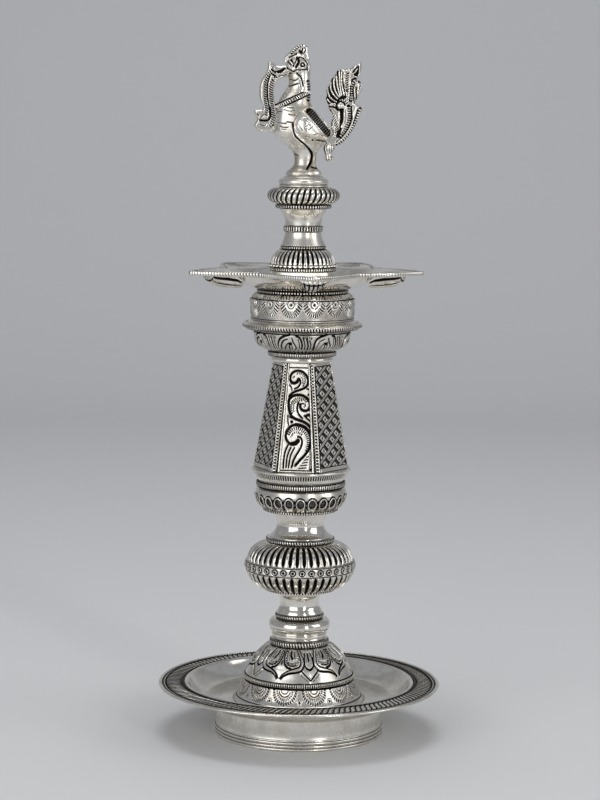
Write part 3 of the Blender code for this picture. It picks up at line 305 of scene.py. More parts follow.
def heart_flames(relief, count, turn):
    """Plain kites round the dome, with a hatched medallion between each kite and the split leaf beside it."""
    draw, comb, radius = relief.draw, relief.comb, size("lotus_dome")[0]
    relief.u = np.abs(relief.spaced(count, turn, radius))
    inner = [(0.9, 2.8), (2.7, 5), (7, 7.3), (12.5, 8.8), (15.2, 9.7), (16.6, 11.7), (16.8, 13.7), (16, 16),
             (14.6, 18.4), (13.2, 21.6)]
    outer = [(1.7, 2.4), (3.6, 4.1), (7.6, 5.7), (14, 6.5), (17.5, 7.8), (19.3, 10), (19.8, 12.5), (19, 15.5),
             (17, 19), (15.6, 21.6)]
    band = [((a + c) / 2, (b + d) / 2) for (a, b), (c, d) in zip(inner, outer)]
    relief.ridge(band, 1.5, 0.4)
    draw(inner, 1.05)
    draw(outer, 1.15)
    draw([(1, 20.4), (0.9, 16), (2.5, 11.7), (5.4, 9.3), (8.6, 8.7)], 1.35)
    draw([(3.6, 20.4), (3.4, 16.2), (4.7, 12.6), (6.9, 10.6), (10, 10.2), (13, 10.8)], 0.8, black=0.9)
    comb([(2.4, 19.6), (2.2, 16.2), (3.7, 12.2), (5.6, 10.4)], 1.25, 1, 0.65)
    comb([(6.2, 12), (9, 11.4), (12.6, 12), (14.6, 13.4), (14.2, 16), (12.8, 18.6)], 1.25, 1.1, 0.65)
    draw([(6.8, 19.6), (7.5, 16.8), (9, 14.9)], 2)
    draw([(10.2, 19.4), (10.9, 17), (11.4, 15)], 1)
    draw([(5.2, 19.4), (5.3, 16.4), (6.6, 13.8)], 0.5, black=0.8)
    draw([(0, 12.6), (0, 11.2)], 1.5)
    comb([(0, 13.8), (0, 15.8), (0, 18.2)], 1.2, 0.8, 0.5, black=0.6)
    relief.u = np.abs(relief.spaced(count, turn + TAU / count / 2, radius))
    relief.ridge([(0.6, 0.9), (3.6, 3.4), (7, 6.2)], 0.8, 0.3)
    draw([(0, 1.6), (3.4, 4.6), (6.6, 7.4)], 1)
    draw([(1.6, 0.9), (4.4, 3), (7.2, 5.2)], 0.5, black=0.8)
    draw([(0, 7.9), (1.9, 8.6), (3.6, 10.6), (3.9, 14.6), (2.9, 18.8)], 1.4)
    draw([(0, 13.6), (0, 18.4)], 1.7)
    draw([(1.6, 18), (1.9, 14.6), (1.3, 11.6)], 0.45, black=0.7)


def rim_strokes(relief, count, low, high, lean):
    """Leaning bars across the drip plate's rim, each rounded, with black between."""
    share = np.clip((relief.v - low) / (high - low), 0, 1)
    bar = rounded(relief.angle / TAU * count + lean * (share + 0.10 * np.sin(TAU * share)))
    bar = bar * np.sqrt(np.clip(1 - (2 * share - 1) ** 6, 0, 1))
    there = window(relief.v, low, high, 0.5)
    relief.height += (0.9 * bar - 0.6) * there
    relief.blacken((1 - ramp(bar, 0.60, 0.84)) * there)


def scallops(relief, count, turn, up):
    """Fans of bright-cut rays below an eye, under half rings and leaves on the shoulder."""
    u = relief.repeat(count, turn) * 1.159
    v = up - relief.v
    distance = np.hypot(u, v)
    bearing = np.abs(np.arctan2(u, v))
    bent = bearing - 0.42 * ramp(bearing, 0.8, 1.9) * (7.6 - distance) / 3.4
    ray = stroke(wrapped(bent, math.radians(12.6)) / math.radians(12.6), 0.50, 0.16)
    there = window(distance, 3.7 + 0.9 * ramp(bearing, 1.0, 1.9), 7.4, 0.4)
    there = there * (1 - ramp(bent, math.radians(93), math.radians(95)))
    # Painted shade: a grey half ring beside each eye and a grey ground outside the fans stand for the dark
    # that the polished drum reflects there.
    relief.cut(window(distance, 2.4, 3.5) * ramp(bearing, 1.2, 1.6) * (v > -1.6), 0.2, 0.42)
    relief.cut(ramp(distance, 7.5, 7.9) * (v > 0), 0.2, 0.38)
    relief.cut((1 - ray) * there, 0.30)
    relief.raise_up(ray * there, 0.15)
    relief.cut(stroke(distance - 2.25, 0.45), 0.15, 0.9)
    relief.raise_up(stroke(distance - 1.45, 0.9), 0.35)
    relief.cut(1 - ramp(distance, 0.45, 0.85), 0.4)
    ring_line(relief, up + 2.2, 0.8, 0.3, 0.85)
    w = np.abs(relief.repeat(count, turn))
    rise = relief.v - up
    square = np.maximum(w, np.abs(rise - 4.6) * 0.9)
    marks = stroke(square - 1.35, 0.65, 0.25) + stroke(square, 0.6, 0.25)
    for shift, lean in ((2.9, 0.12), (4.4, 0.30), (6.0, 0.0)):
        marks = np.maximum(marks, stroke(w - shift - lean * (rise - 3), 0.65, 0.25))
    relief.cut(np.clip(marks, 0, 1) * ramp(rise, 2.7, 3.0), 0.3, 0.66)


def cup_leaves(relief, count, turn):
    """Broad worn leaves round the leaf cup, each folded over at its tip, with short petals below."""
    draw, radius = relief.draw, size("rope_flange")[0]
    relief.u = ((relief.angle - turn) % (TAU / count)) * radius
    relief.depth = 0.4
    relief.ridge([(1.7, 6.5), (3.4, 11), (8, 13.3)], 1.5, 0.5)
    draw([(0.7, 4.6), (0.8, 9), (2.4, 12.2), (6, 14), (10, 14.8)], 1.3)
    draw([(2.8, 5), (3.2, 8.2), (5.2, 11.2), (8.2, 12.2)], 0.9, 0.9)
    draw([(5.4, 4.8), (6.6, 7.6), (8.6, 9.8)], 0.9, 0.9)
    draw([(9.3, 4.8), (9.4, 7), (9.3, 9)], 1.1)
    draw([(9.6, 9.6), (10.4, 9.4)], 1.8)
    draw([(11.4, 4.8), (11.3, 7.6), (11, 10.4)], 0.8, 0.85)
    draw([(13.9, 5), (14.3, 7.6), (12.4, 10.6), (11.6, 12.6)], 1, 0.95)
    draw([(14.6, 14.2), (17.2, 13), (18.9, 9.2), (18.4, 5.2)], 1.3)
    draw([(16, 12.2), (16.9, 9.2), (16.6, 5.4)], 0.8, 0.8)
    draw([(20.6, 5), (20.9, 9), (19.6, 13)], 0.9, 0.9)
    draw([(22.9, 5), (23.2, 8.6), (22.2, 12.6)], 1.2)
    draw([(25.2, 5), (25.3, 8.4), (24.4, 11.4)], 0.9, 0.85)
    relief.comb([(20.2, 13.2), (22.6, 13.4), (25.2, 12.8)], 1.3, 0.9, 0.6, black=0.9)
    petal = stroke(relief.spaced(60, 0, radius), 0.5 * TAU / 60 * radius)
    relief.cut(petal * (1 - ramp(relief.v, 2.4, 3)), 0.3)
    ring_line(relief, 3.5, 0.8, 0.3)
    ring_line(relief, relief.top - 0.5, 0.7, 0.2)
    relief.black = np.maximum(0.86 * relief.black, 0.3)


def fine(amount):
    return max(6, int(amount * (1.0)))


def ring_quads(rows, columns, closed_rows=False):
    """Quads of a grid that is closed round the lamp, and up its rows too if asked."""
    row = np.arange(rows if closed_rows else rows - 1)[:, None] * columns
    up = (row + columns) % (rows * columns)
    column = np.arange(columns)[None, :]
    after = (column + 1) % columns
    return np.stack([row + column, row + after, up + after, up + column], axis=-1).reshape(-1, 4)


def add_piece(node, points, quads, black, finish, triangles=(), name=None):
    """A mesh that stands for a CAD node and moves with it."""
    name = name or node.capitalize()
    mesh = bpy.data.meshes.new(name)
    mesh.vertices.add(len(points))
    mesh.vertices.foreach_set("co", (np.asarray(points) * MM).astype(np.float32).ravel())
    faces = [np.asarray(quads, dtype=np.int32), np.asarray(triangles, dtype=np.int32)]
    sizes = np.concatenate([np.full(len(f), f.shape[1] if f.ndim > 1 else 0, dtype=np.int32) for f in faces])
    corners = np.concatenate([f.ravel() for f in faces])
    mesh.loops.add(len(corners))
    mesh.loops.foreach_set("vertex_index", corners)
    mesh.polygons.add(len(sizes))
    mesh.polygons.foreach_set("loop_start", np.concatenate([[0], np.cumsum(sizes)[:-1]]).astype(np.int32))
    mesh.update(calc_edges=True)
    mesh.attributes.new(MARK, "FLOAT", "POINT").data.foreach_set("value",
                                                                 np.asarray(black, dtype=np.float32).ravel())
    if len(triangles):
        work = bmesh.new()
        work.from_mesh(mesh)
        bmesh.ops.recalc_face_normals(work, faces=work.faces)
        work.to_mesh(mesh)
        work.free()
    mesh.shade_smooth()
    mesh.materials.append(finishes()[finish])
    piece = bpy.data.objects.new(name, mesh)
    bpy.context.scene.collection.objects.link(piece)
    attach(piece, BODY_OF[node])
    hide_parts(node)


def turned(node, outline, columns, rows, finish, bore, pattern=None, name=None):
    """A turned piece. Its outline runs up the outside, and bore closes its inside."""
    columns, rows = fine(columns), fine(rows)
    line, along = spread(outline, rows)
    tangent = np.gradient(line, axis=0)
    tangent /= np.linalg.norm(tangent, axis=1, keepdims=True) + 1e-12
    angle, up = np.meshgrid(TAU * np.arange(columns) / columns, along)
    relief = RoundRelief(angle, up, line[:, :1] + 0 * angle)
    if pattern:
        pattern(relief)
    ring = np.ones((2, columns))
    out = np.vstack([line[:, :1] + relief.height * tangent[:, 1:], ring * bore])
    high = np.vstack([line[:, 1:] - relief.height * tangent[:, :1], ring * [[line[-1, 1]], [line[0, 1]]]])
    black = np.vstack([relief.black, ring * 0.6])
    high += box(node)[0][2]
    points = np.stack([out * np.sin(angle[:1]), -out * np.cos(angle[:1]), high], axis=-1).reshape(-1, 3)
    add_piece(node, points, ring_quads(rows + 2, columns, True), black, finish, name=name)


def plain_ring(node, bulge, columns, rows=16, bore_share=0.8, pattern=None, name=None, finish="chased"):
    radius, tall = size(node)
    turned(node, bow(radius - bulge, 0, tall, bulge, 16), columns, rows, finish, radius * bore_share - 1.0,
           pattern, name)


def rope_ring(node, bulge, count, depth, lean=0.0, margin=0.0, rows=16, bore_share=0.8, name=None):
    """A ring of rope work that leaves a plain margin, a share of its height, below and above."""
    plain_ring(node, bulge, count * 9, rows, bore_share,
               lambda relief: rope(relief, count, depth, lean, margin, 1 - margin), name)


def sheet_solid(front, back):
    """A closed sheet between two grids of points that match."""
    rows, columns = front.shape[:2]
    index = np.arange(rows * columns).reshape(rows, columns)
    far = index + rows * columns
    face = np.stack([index[:-1, :-1], index[:-1, 1:], index[1:, 1:], index[1:, :-1]], axis=-1).reshape(-1, 4)
    sides = []
    for a, b in ((index[0], far[0]), (index[:, -1], far[:, -1]), (index[-1][::-1], far[-1][::-1]),
                 (index[::-1, 0], far[::-1, 0])):
        sides.append(np.stack([a[1:], a[:-1], b[:-1], b[1:]], axis=-1))
    points = np.concatenate([front.reshape(-1, 3), back.reshape(-1, 3)])
    return points, np.concatenate([face, (face + rows * columns)[:, ::-1], *sides])


def add_node(tree, kind, x, y, inputs, **settings):
    """A shader node whose sockets are set to values or joined to the outputs of other nodes."""
    made = tree.nodes.new(kind)
    made.location = (x, y)
    for key, value in settings.items():
        setattr(made, key, value)
    for key, value in inputs.items():
        if isinstance(value, bpy.types.NodeSocket):
            tree.links.new(value, made.inputs[key])
        else:
            made.inputs[key].default_value = value
    return made


def aged_silver_group():
    """Cloudy tarnish, black recesses and fine dents."""
    tree = bpy.data.node_groups.new("Aged Silver", "ShaderNodeTree")
    for name, kind, default in (
        ("Silver", "Color", (0.8, 0.78, 0.73, 1)), ("Tarnish", "Color", (0.3, 0.25, 0.18, 1)),
        ("Black", "Color", (0.01, 0.01, 0.01, 1)), ("Recess", "Float", 0.0), ("Clouding", "Float", 0.3),
        ("Roughness", "Float", 0.2), ("Dents", "Float", 0.1),
    ):
        tree.interface.new_socket(name=name, in_out="INPUT",
                                  socket_type="NodeSocket" + kind).default_value = default
    for name, kind in (("Color", "Color"), ("Roughness", "Float"), ("Normal", "Vector")):
        tree.interface.new_socket(name=name, in_out="OUTPUT", socket_type="NodeSocket" + kind)
    given = add_node(tree, "NodeGroupInput", -1100, 0, {}).outputs
    spot = add_node(tree, "ShaderNodeTexCoord", -1300, -400, {}).outputs["Object"]

    def noise(y, scale, detail, roughness):
        inputs = {"Vector": spot, "Scale": scale, "Detail": detail, "Roughness": roughness}
        return add_node(tree, "ShaderNodeTexNoise", -1000, y, inputs).outputs["Fac"]

    def maths(x, y, operation, *values):
        return add_node(tree, "ShaderNodeMath", x, y, dict(enumerate(values)),
                        operation=operation).outputs["Value"]

    def mix(x, y, share, first, second):
        inputs = {0: share, 6: first, 7: second}
        return add_node(tree, "ShaderNodeMix", x, y, inputs, data_type="RGBA").outputs[2]

    clouded = {"Value": noise(-300, 110.0, 6.0, 0.7), "From Min": 0.44, "From Max": 0.66}
    clouds = maths(-560, -300, "MULTIPLY", add_node(tree, "ShaderNodeMapRange", -760, -300,
                                                    clouded).outputs["Result"], given["Clouding"])
    ragged = {"Value": maths(-560, -560, "MULTIPLY_ADD", noise(-600, 900.0, 3.0, 0.6), 0.35, given["Recess"]),
              "From Min": 0.34, "From Max": 0.92}
    recess = add_node(tree, "ShaderNodeMapRange", -340, -500, ragged,
                      interpolation_type="SMOOTHSTEP").outputs["Result"]
    toned = mix(-340, 100, clouds, given["Silver"], given["Tarnish"])
    rough = maths(-80, -260, "MULTIPLY_ADD", recess, 0.42, given["Roughness"])
    dented = {"Distance": 0.0004, "Strength": given["Dents"], "Height": noise(-900, 260.0, 2.0, 0.5)}
    add_node(tree, "NodeGroupOutput", 700, 0, {
        "Color": mix(-80, 60, recess, toned, given["Black"]),
        "Roughness": maths(160, -260, "MULTIPLY_ADD", clouds, 0.25, rough),
        "Normal": add_node(tree, "ShaderNodeBump", 160, -560, dented).outputs["Normal"],
    })
    return tree


def silver_material(name, group, metal, roughness, clouding, dents, tarnish=(0.34, 0.27, 0.165)):
    made = bpy.data.materials.new(name)
    made.use_nodes = True
    tree = made.node_tree
    mark = add_node(tree, "ShaderNodeAttribute", -520, -160, {}, attribute_name=MARK)
    aged = add_node(tree, "ShaderNodeGroup", -300, 0, {}, node_tree=group)
    for key, value in (
            ("Silver", (*metal, 1)),
            ("Tarnish", (*tarnish, 1)),
            ("Black", (0.012, 0.010, 0.009, 1)),
            ("Clouding", clouding),
            ("Roughness", roughness),
            ("Dents", dents)):
        aged.inputs[key].default_value = value
    tree.links.new(mark.outputs["Fac"], aged.inputs["Recess"])
    shader = tree.nodes["Principled BSDF"]
    shader.inputs["Metallic"].default_value = 1.0
    for output, target in (("Color", "Base Color"), ("Roughness", "Roughness"), ("Normal", "Normal")):
        tree.links.new(aged.outputs[output], shader.inputs[target])
    return made


METALS = {}


def finishes():
    """The lamp's metals by name, made the first time they are asked for."""
    if not METALS:
        group, silver = aged_silver_group(), tuple(bpy.context.scene.swan_lamp.silver)
        for key, name, *look in (
            ("chased", "Chased silver", silver, 0.21, 0.45, 0.12),
            ("bright", "Polished silver", silver, 0.10, 0.30, 0.04),
            ("satin", "Satin silver", silver, 0.26, 0.32, 0.06),
            ("cast", "Cast silver", silver, 0.24, 0.75, 0.30),
            ("brass", "Brass", (0.72, 0.53, 0.26), 0.30, 0.35, 0.08, (0.30, 0.20, 0.10)),
            ("steel", "Steel", (0.55, 0.55, 0.56), 0.35, 0.30, 0.06, (0.35, 0.33, 0.32)),
        ):
            METALS[key] = silver_material(name, group, *look)
    return METALS


class LampSizes(bpy.types.PropertyGroup):
    silver: FloatVectorProperty(
        name="Silver", description="Colour of the polished silver",
        subtype="COLOR", default=(0.84, 0.815, 0.755),
        min=0, max=1,
    )
    rim_strokes: IntProperty(
        name="Rim strokes", description="Leaning bars round the drip plate's rim",
        default=140, min=20, max=400
    )
    upper_flutes: IntProperty(
        name="Upper flutes", description="Flutes on the upper half of the bulb", default=46, min=8, max=120
    )
    lower_flutes: IntProperty(
        name="Lower flutes", description="Flutes on the lower half of the bulb", default=42, min=8, max=120
    )
    lattice_cell: FloatProperty(
        name="Lattice cell", description="Width of a diamond in the pillar's lattice", subtype="DISTANCE",
        default=9 * MM, min=3 * MM, max=30 * MM
    )


class SWANLAMP_OT_base(bpy.types.Operator):
    """Foot, drip plate, lotus dome, knop and lower neck"""

    bl_idname = "swan_lamp.base"
    bl_label = "Build base"

    def execute(self, context):
        build_foot()
        build_plate(context.scene.swan_lamp.rim_strokes)
        build_dome()
        build_knop()
        return {"FINISHED"}


def build_foot():
    radius, tall = size("foot_ring")
    wall = radius - 1.1
    outline = []
    for k in range(3):
        outline += bow(wall + 0.2, 1.8 * k, 1.8 * (k + 1), 0.95 - 0.2 * k)
    outline += [(wall - 0.1, 5.7), (wall, 6.2)] + curve([(wall, 6.2), (wall - 0.25, tall / 2), (wall, tall)])

    def lines(relief):
        for k in (1, 2, 3):
            ring_line(relief, k * 2.55, 0.5, 0.1, 0.75)

    turned("foot_ring", outline, 256, 90, "satin", wall - 1.4, lines, "Foot")


def build_plate(strokes):
    radius, tall = size("drip_plate")
    inner, lip, edge, well_floor = 65.0, radius - 1.1, tall - 1.5, 1.5
    outline = [(5, 0), (54, 0), (60, 3.2), (65.5, tall - 2.3), (lip, edge - 0.9), (lip, edge - 0.2),
               (inner + 1.6, tall - 1.2), (inner + 1.0, tall - 0.3), (inner + 0.2, tall),
               (inner - 0.9, tall - 0.8)]
    outline += curve([(inner - 0.9, tall - 0.8), (61.5, tall - 4.6), (57, well_floor + 1.6),
                      (50, well_floor + 0.1), (38, well_floor - 0.2)], 10)
    turned("drip_plate", outline + [(5, well_floor - 0.2)], 320, 420, "bright", 5)
    start = inner + 1.3
    width = radius - 2.4 - start
    band = [(start, tall - 0.75), (start + 0.7, tall - 0.55), (radius - 2.6, edge + 0.15),
            (radius - 2.2, edge - 0.05), (radius - 1.7, edge + 0.55)] + bow(radius - 1.3, edge + 0.8,
                                                                            edge - 1.0, 1.3, 12)

    def rim(relief):
        ring_line(relief, 0.6, 0.9, 0.3)
        rim_strokes(relief, strokes, 1.2, width - 1.5, 1.9)
        ring_line(relief, width - 1.35, 0.5, 0.2)
        hatch(relief, strokes * 2, width - 0.7, width + 0.9)

    turned("drip_plate", band, strokes * 10, 84, "chased", start + 0.5, rim, "Plate_rim")


def build_dome():
    """A flared skirt of sunbursts, a ticked band, and a dome of heart-shaped flames."""
    radius, tall = size("lotus_dome")
    band_low, band_high = 11.6, 15.0

    def skirt(relief):
        ring_line(relief, 2.9, 0.7, 0.25, 0.95)
        sunbursts(relief, 12, math.radians(-14.2))
        ring_line(relief, relief.top - 0.1, 0.8, 0.3)

    flare = curve([(radius, 0), (radius - 1.8, 1.8), (34.4, 4.6), (33.0, 8.0), (31.8, band_low)], 10)
    turned("lotus_dome", flare, 720, 70, "chased", 20, skirt, "Dome_skirt")

    def ticks(relief):
        hatch(relief, 156, 0.9, relief.top - 0.9)
        ring_line(relief, 0.35, 0.8, 0.3)
        ring_line(relief, relief.top - 0.35, 0.8, 0.3)

    band = [(31.4, band_low)] + bow(31.7, band_low + 0.5, band_high - 0.5, 0.7) + [(31.0, band_high)]
    turned("lotus_dome", band, 156 * 9, 24, "chased", 20, ticks, "Dome_band")
    lotus = curve([(31.0, band_high), (29.9, 17.0), (27.5, 21.6), (24.6, 26.2), (19.0, tall)], 12)
    turned("lotus_dome", lotus, 720, 120, "chased", 12,
           lambda relief: heart_flames(relief, 5, math.radians(-22.9)), "Dome_lotus")


def build_knop():
    rope_ring("knop_rope_ring", 1.2, 64, 0.5, 0.6, 0.15, 20, name="Dome_rope_ring")
    radius, tall = size("base_knop")
    step = 3.6
    outline = [(15.4, 0), (15.9, 0.5), (15.5, 1.2), (15.8, 1.8), (15.8, step - 0.8), (15.2, step - 0.1),
               (15.2, step + 0.3)]
    outline += bow(14.9, step + 0.4, tall - 0.4, radius - 14.9, 18) + [(13.4, tall)]
    turned("base_knop", outline, 224, 110, "bright", 9, name="Knop")
    rope_ring("neck_rope_ring", 1.0, 60, 0.4, 0.6, 0.15)
    _, tall = size("lower_neck")
    outline = [(13.1, 0)] + curve([(13.1, 0.4), (12.6, 1.6), (11.5, 3.8), (11.3, 6.8), (11.7, 9.2),
                                   (12.5, 11.4), (12.9, tall)])
    turned("lower_neck", outline, 192, 48, "bright", 8)


class SWANLAMP_OT_bulb(bpy.types.Operator):
    """Fluted bulb, its girdle and the neck above it"""

    bl_idname = "swan_lamp.bulb"
    bl_label = "Build bulb"

    def execute(self, context):
        sizes = context.scene.swan_lamp
        turned("bulb_lower", [(18.6, -0.8)] + bow(20.0, -0.8, 0.6, 1.0), 80 * 8, 14, "chased", 13.4,
               lambda relief: rope(relief, 80, 0.35, first=0.3), "Bulb_foot_bead")
        _, tall = size("bulb_lower")
        outline = curve([(20.4, 0.4), (22.4, 0.8), (25.0, 2.0), (27.4, 4.0), (29.2, 5.9), (30.7, 8.8),
                         (31.2, tall)])
        turned("bulb_lower", outline, sizes.lower_flutes * 14, 56, "chased", 16,
               lambda relief: flutes(relief, sizes.lower_flutes, 1.0, 0.52, 0.08, 0.14), "Bulb_lower_half")
        plain_ring("bulb_girdle", 0.5, 37 * 18, 44, 0.92, girdle)
        _, tall = size("bulb_upper")
        outline = curve([(30.6, 0), (29.9, 2.6), (28.2, 5.8), (24.9, 8.4), (19.2, tall)])
        turned("bulb_upper", outline, sizes.upper_flutes * 14, 56, "chased", 14,
               lambda relief: flutes(relief, sizes.upper_flutes, 1.0, 0.53, 0.14, 0.06, math.radians(4.7)),
               "Bulb_upper_half")
        rope_ring("bulb_bead_collar", 0.9, 80, 0.4, 0.5, 0.12)
        _, tall = size("mid_neck")
        outline = [(17.8, 0), (17.8, 0.5)] + curve([(17.4, 0.8), (15.2, 2.8), (13.5, 6.2), (13.4, 8.2)])
        outline += [(13.8, 8.5), (13.6, 8.8)] + curve([(13.7, 8.9), (14.8, 11.6), (16.2, tall)])
        turned("mid_neck", outline, 192, 64, "bright", 8, name="Middle_neck")
        return {"FINISHED"}


def girdle(relief):
    """Punched rings between two lines, each with a black dot in its middle."""
    middle, ring = relief.top / 2, 1.65
    distance = np.hypot(relief.repeat(37, math.radians(2.3)), relief.v - middle)
    relief.cut(stroke(distance - ring, 0.8), 0.4)
    relief.raise_up(stroke(distance - ring * 0.6, 0.5), 0.3)
    relief.cut(1 - ramp(distance, ring * 0.42, ring * 0.58), 0.5)
    for side in (-1, 1):
        ring_line(relief, middle + side * 2.55, 0.6)


class SWANLAMP_OT_pillar(bpy.types.Operator):
    """Petal cup, six-sided pillar, leaf cup, flange and drum"""

    bl_idname = "swan_lamp.pillar"
    bl_label = "Build pillar"

    def execute(self, context):
        rope_ring("cup_rope_ring", 0.6, 88, 0.4, rows=14, bore_share=0.6)
        _, tall = size("petal_cup")
        outline = curve([(21.2, 0), (24.3, 2.4), (25.7, 5.4), (26.1, 8.6), (25.4, tall)])
        turned("petal_cup", outline, 24 * 30, 84, "chased", 16,
               lambda relief: petals(relief, 24, 6.7, 2.05, 2.7))
        plain_ring("cup_rope_collar", 1.5, 120 * 9, 30, 0.9, collar_rope)
        build_moulding()
        build_pillar(context.scene.swan_lamp.lattice_cell / MM)
        plain_ring("pillar_ring", 0.8, 192, finish="bright")
        plain_ring("pillar_bead_ring", 0.9, 120 * 8, 20, 0.8,
                   lambda relief: rope(relief, 120, 0.45, 0.0, 0.2, 0.8))
        _, tall = size("leaf_cup")
        outline = curve([(19.6, 0), (23.4, 1.6), (26.4, 4.4), (27.4, 8.2), (27.9, tall)])
        turned("leaf_cup", outline, 720, 76, "chased", 18,
               lambda relief: cup_leaves(relief, 8, math.radians(13.4)))
        build_flange()
        build_drum()
        return {"FINISHED"}


def collar_rope(relief):
    """Teeth over a black band, with a black line above them."""
    rope(relief, 120, 0.5, first=0.34, last=0.82)
    for low, high in ((0.05, 0.34), (0.84, 0.97)):
        relief.cut(window(relief.v / relief.top, low, high, 0.06), 0.3)


def build_moulding():
    _, tall = size("pillar_moulding")
    outline = curve([(24.8, 0), (25.3, 0.8), (26.4, 2.9), (27.4, 5.0)])
    outline += bow(27.9, 5.3, tall - 0.1, 0.4) + [(26.6, tall), (22.4, tall)]

    def dashes(relief):
        hatch(relief, 116, 2.5, 5.3, 0.35)
        ring_line(relief, 5.7, 0.4, 0.2, 0.8)

    turned("pillar_moulding", outline, 116 * 8, 60, "chased", 20, dashes)


def build_flange():
    radius, tall = size("rope_flange")
    outline = [(27.9, 0), (radius - 3.4, 0.5), (radius - 1.6, 0.8), (radius - 1.0, 1.4)]
    outline += bow(radius - 0.9, 1.5, 3.9, 0.9, 14)
    outline += curve([(radius - 0.8, 4.0), (radius - 2.0, 4.6), (radius - 3.3, 4.8), (30.2, 5.3),
                      (29.8, tall)], 6)

    def teeth(relief):
        up = relief.v - 5.2
        phase = relief.angle / TAU * 128 + 0.35 * np.clip(up / 3.2, 0, 1)
        ribs(relief, phase, 0.55, window(up, 0.1, 3.0, 0.4))
        relief.cut(window(up, -1.3, 0.3), 0.2)
        relief.cut(stroke(up - 6.1, 0.5), 0.2, 0.8)

    turned("rope_flange", outline, 128 * 9, 84, "chased", 24, teeth)


def build_drum():
    radius, tall = size("drum")
    wall = tall - 3.4
    outline = [(radius, 0), (radius, wall)]
    outline += curve([(radius, wall), (radius - 0.5, wall + 1.2), (radius - 1.7, wall + 2.6),
                      (radius - 2.7, tall)], 6)

    def fans(relief):
        scallops(relief, 14, math.radians(13.2), wall - 1.4)
        ring_line(relief, 0.9, 0.4, 0.2, 0.8)

    turned("drum", outline, 14 * 72, 96, "chased", 20, fans)


def build_pillar(cell):
    """Six faces, alternately scrolls between raised borders and a lattice."""
    radius, tall = size("pillar")
    corner_low, corner_high = radius / math.cos(math.radians(6.8)), 16.6
    columns, rows = fine(150), fine(300)
    share = np.linspace(0, 1, rows)[:, None]
    corner = corner_low + (corner_high - corner_low) * share
    half = corner / 2
    across = np.linspace(-1, 1, columns) * half
    up = tall * share + 0 * across
    for face in range(6):
        turn = math.radians(-6.8) + face * TAU / 6
        relief = Relief(across, up)
        if face % 2:
            lattice_face(relief, half, cell)
        else:
            scroll_face(relief, half)
        relief.height *= window(np.abs(across) / half, -1, 0.99, 0.02)
        out = corner * math.cos(math.pi / 6) + relief.height
        ahead = np.array([math.sin(turn), -math.cos(turn), 0])
        front = np.stack([across * math.cos(turn), across * math.sin(turn), box("pillar")[0][2] + up],
                         axis=-1)
        front = front + out[..., None] * ahead
        points, quads = sheet_solid(front, front - 1.2 * ahead)
        black = np.append(relief.black, np.full(across.size, 0.6))
        add_piece("pillar", points, quads, black, "chased", name=f"Pillar_face_{face + 1}")


def scroll_face(relief, half):
    """Three hatched scrolls, one above the other, between bead strips and raised borders."""
    v, share = relief.v, relief.v / relief.top
    strip, line, border = 2.4 - 0.6 * share, 1.0 - 0.5 * share, 1.1 - 0.45 * share
    corner = half - np.abs(relief.u)
    frame_in = corner - strip - line
    draw_scrolls(relief)
    panel = ramp(frame_in - border, -0.1, 0.1)
    relief.black *= panel
    relief.height *= panel
    relief.raise_up(window(frame_in, 0, border, 0.25), 0.35)
    relief.cut(stroke(frame_in - border - 0.15, 0.35), 0.2, 0.7)
    relief.cut(window(corner - strip, 0, line, 0.25), 0.45)
    tooth = ramp(np.abs(wrapped(v, 1.7)) / 1.7, 0.17, 0.30)
    on_strip = 1 - ramp(corner - strip, -0.25, 0.0)
    relief.height += (0.75 * tooth * np.sqrt(np.clip(1 - (2 * corner / strip - 1) ** 2, 0, 1))
                      - 0.25) * on_strip
    relief.blacken((1 - tooth) * on_strip * ramp(strip - corner, 0.2, 0.45))
    for up in (1.0, relief.top - 2.4):
        relief.cut(stroke(v - up, 0.6) * panel, 0.3)


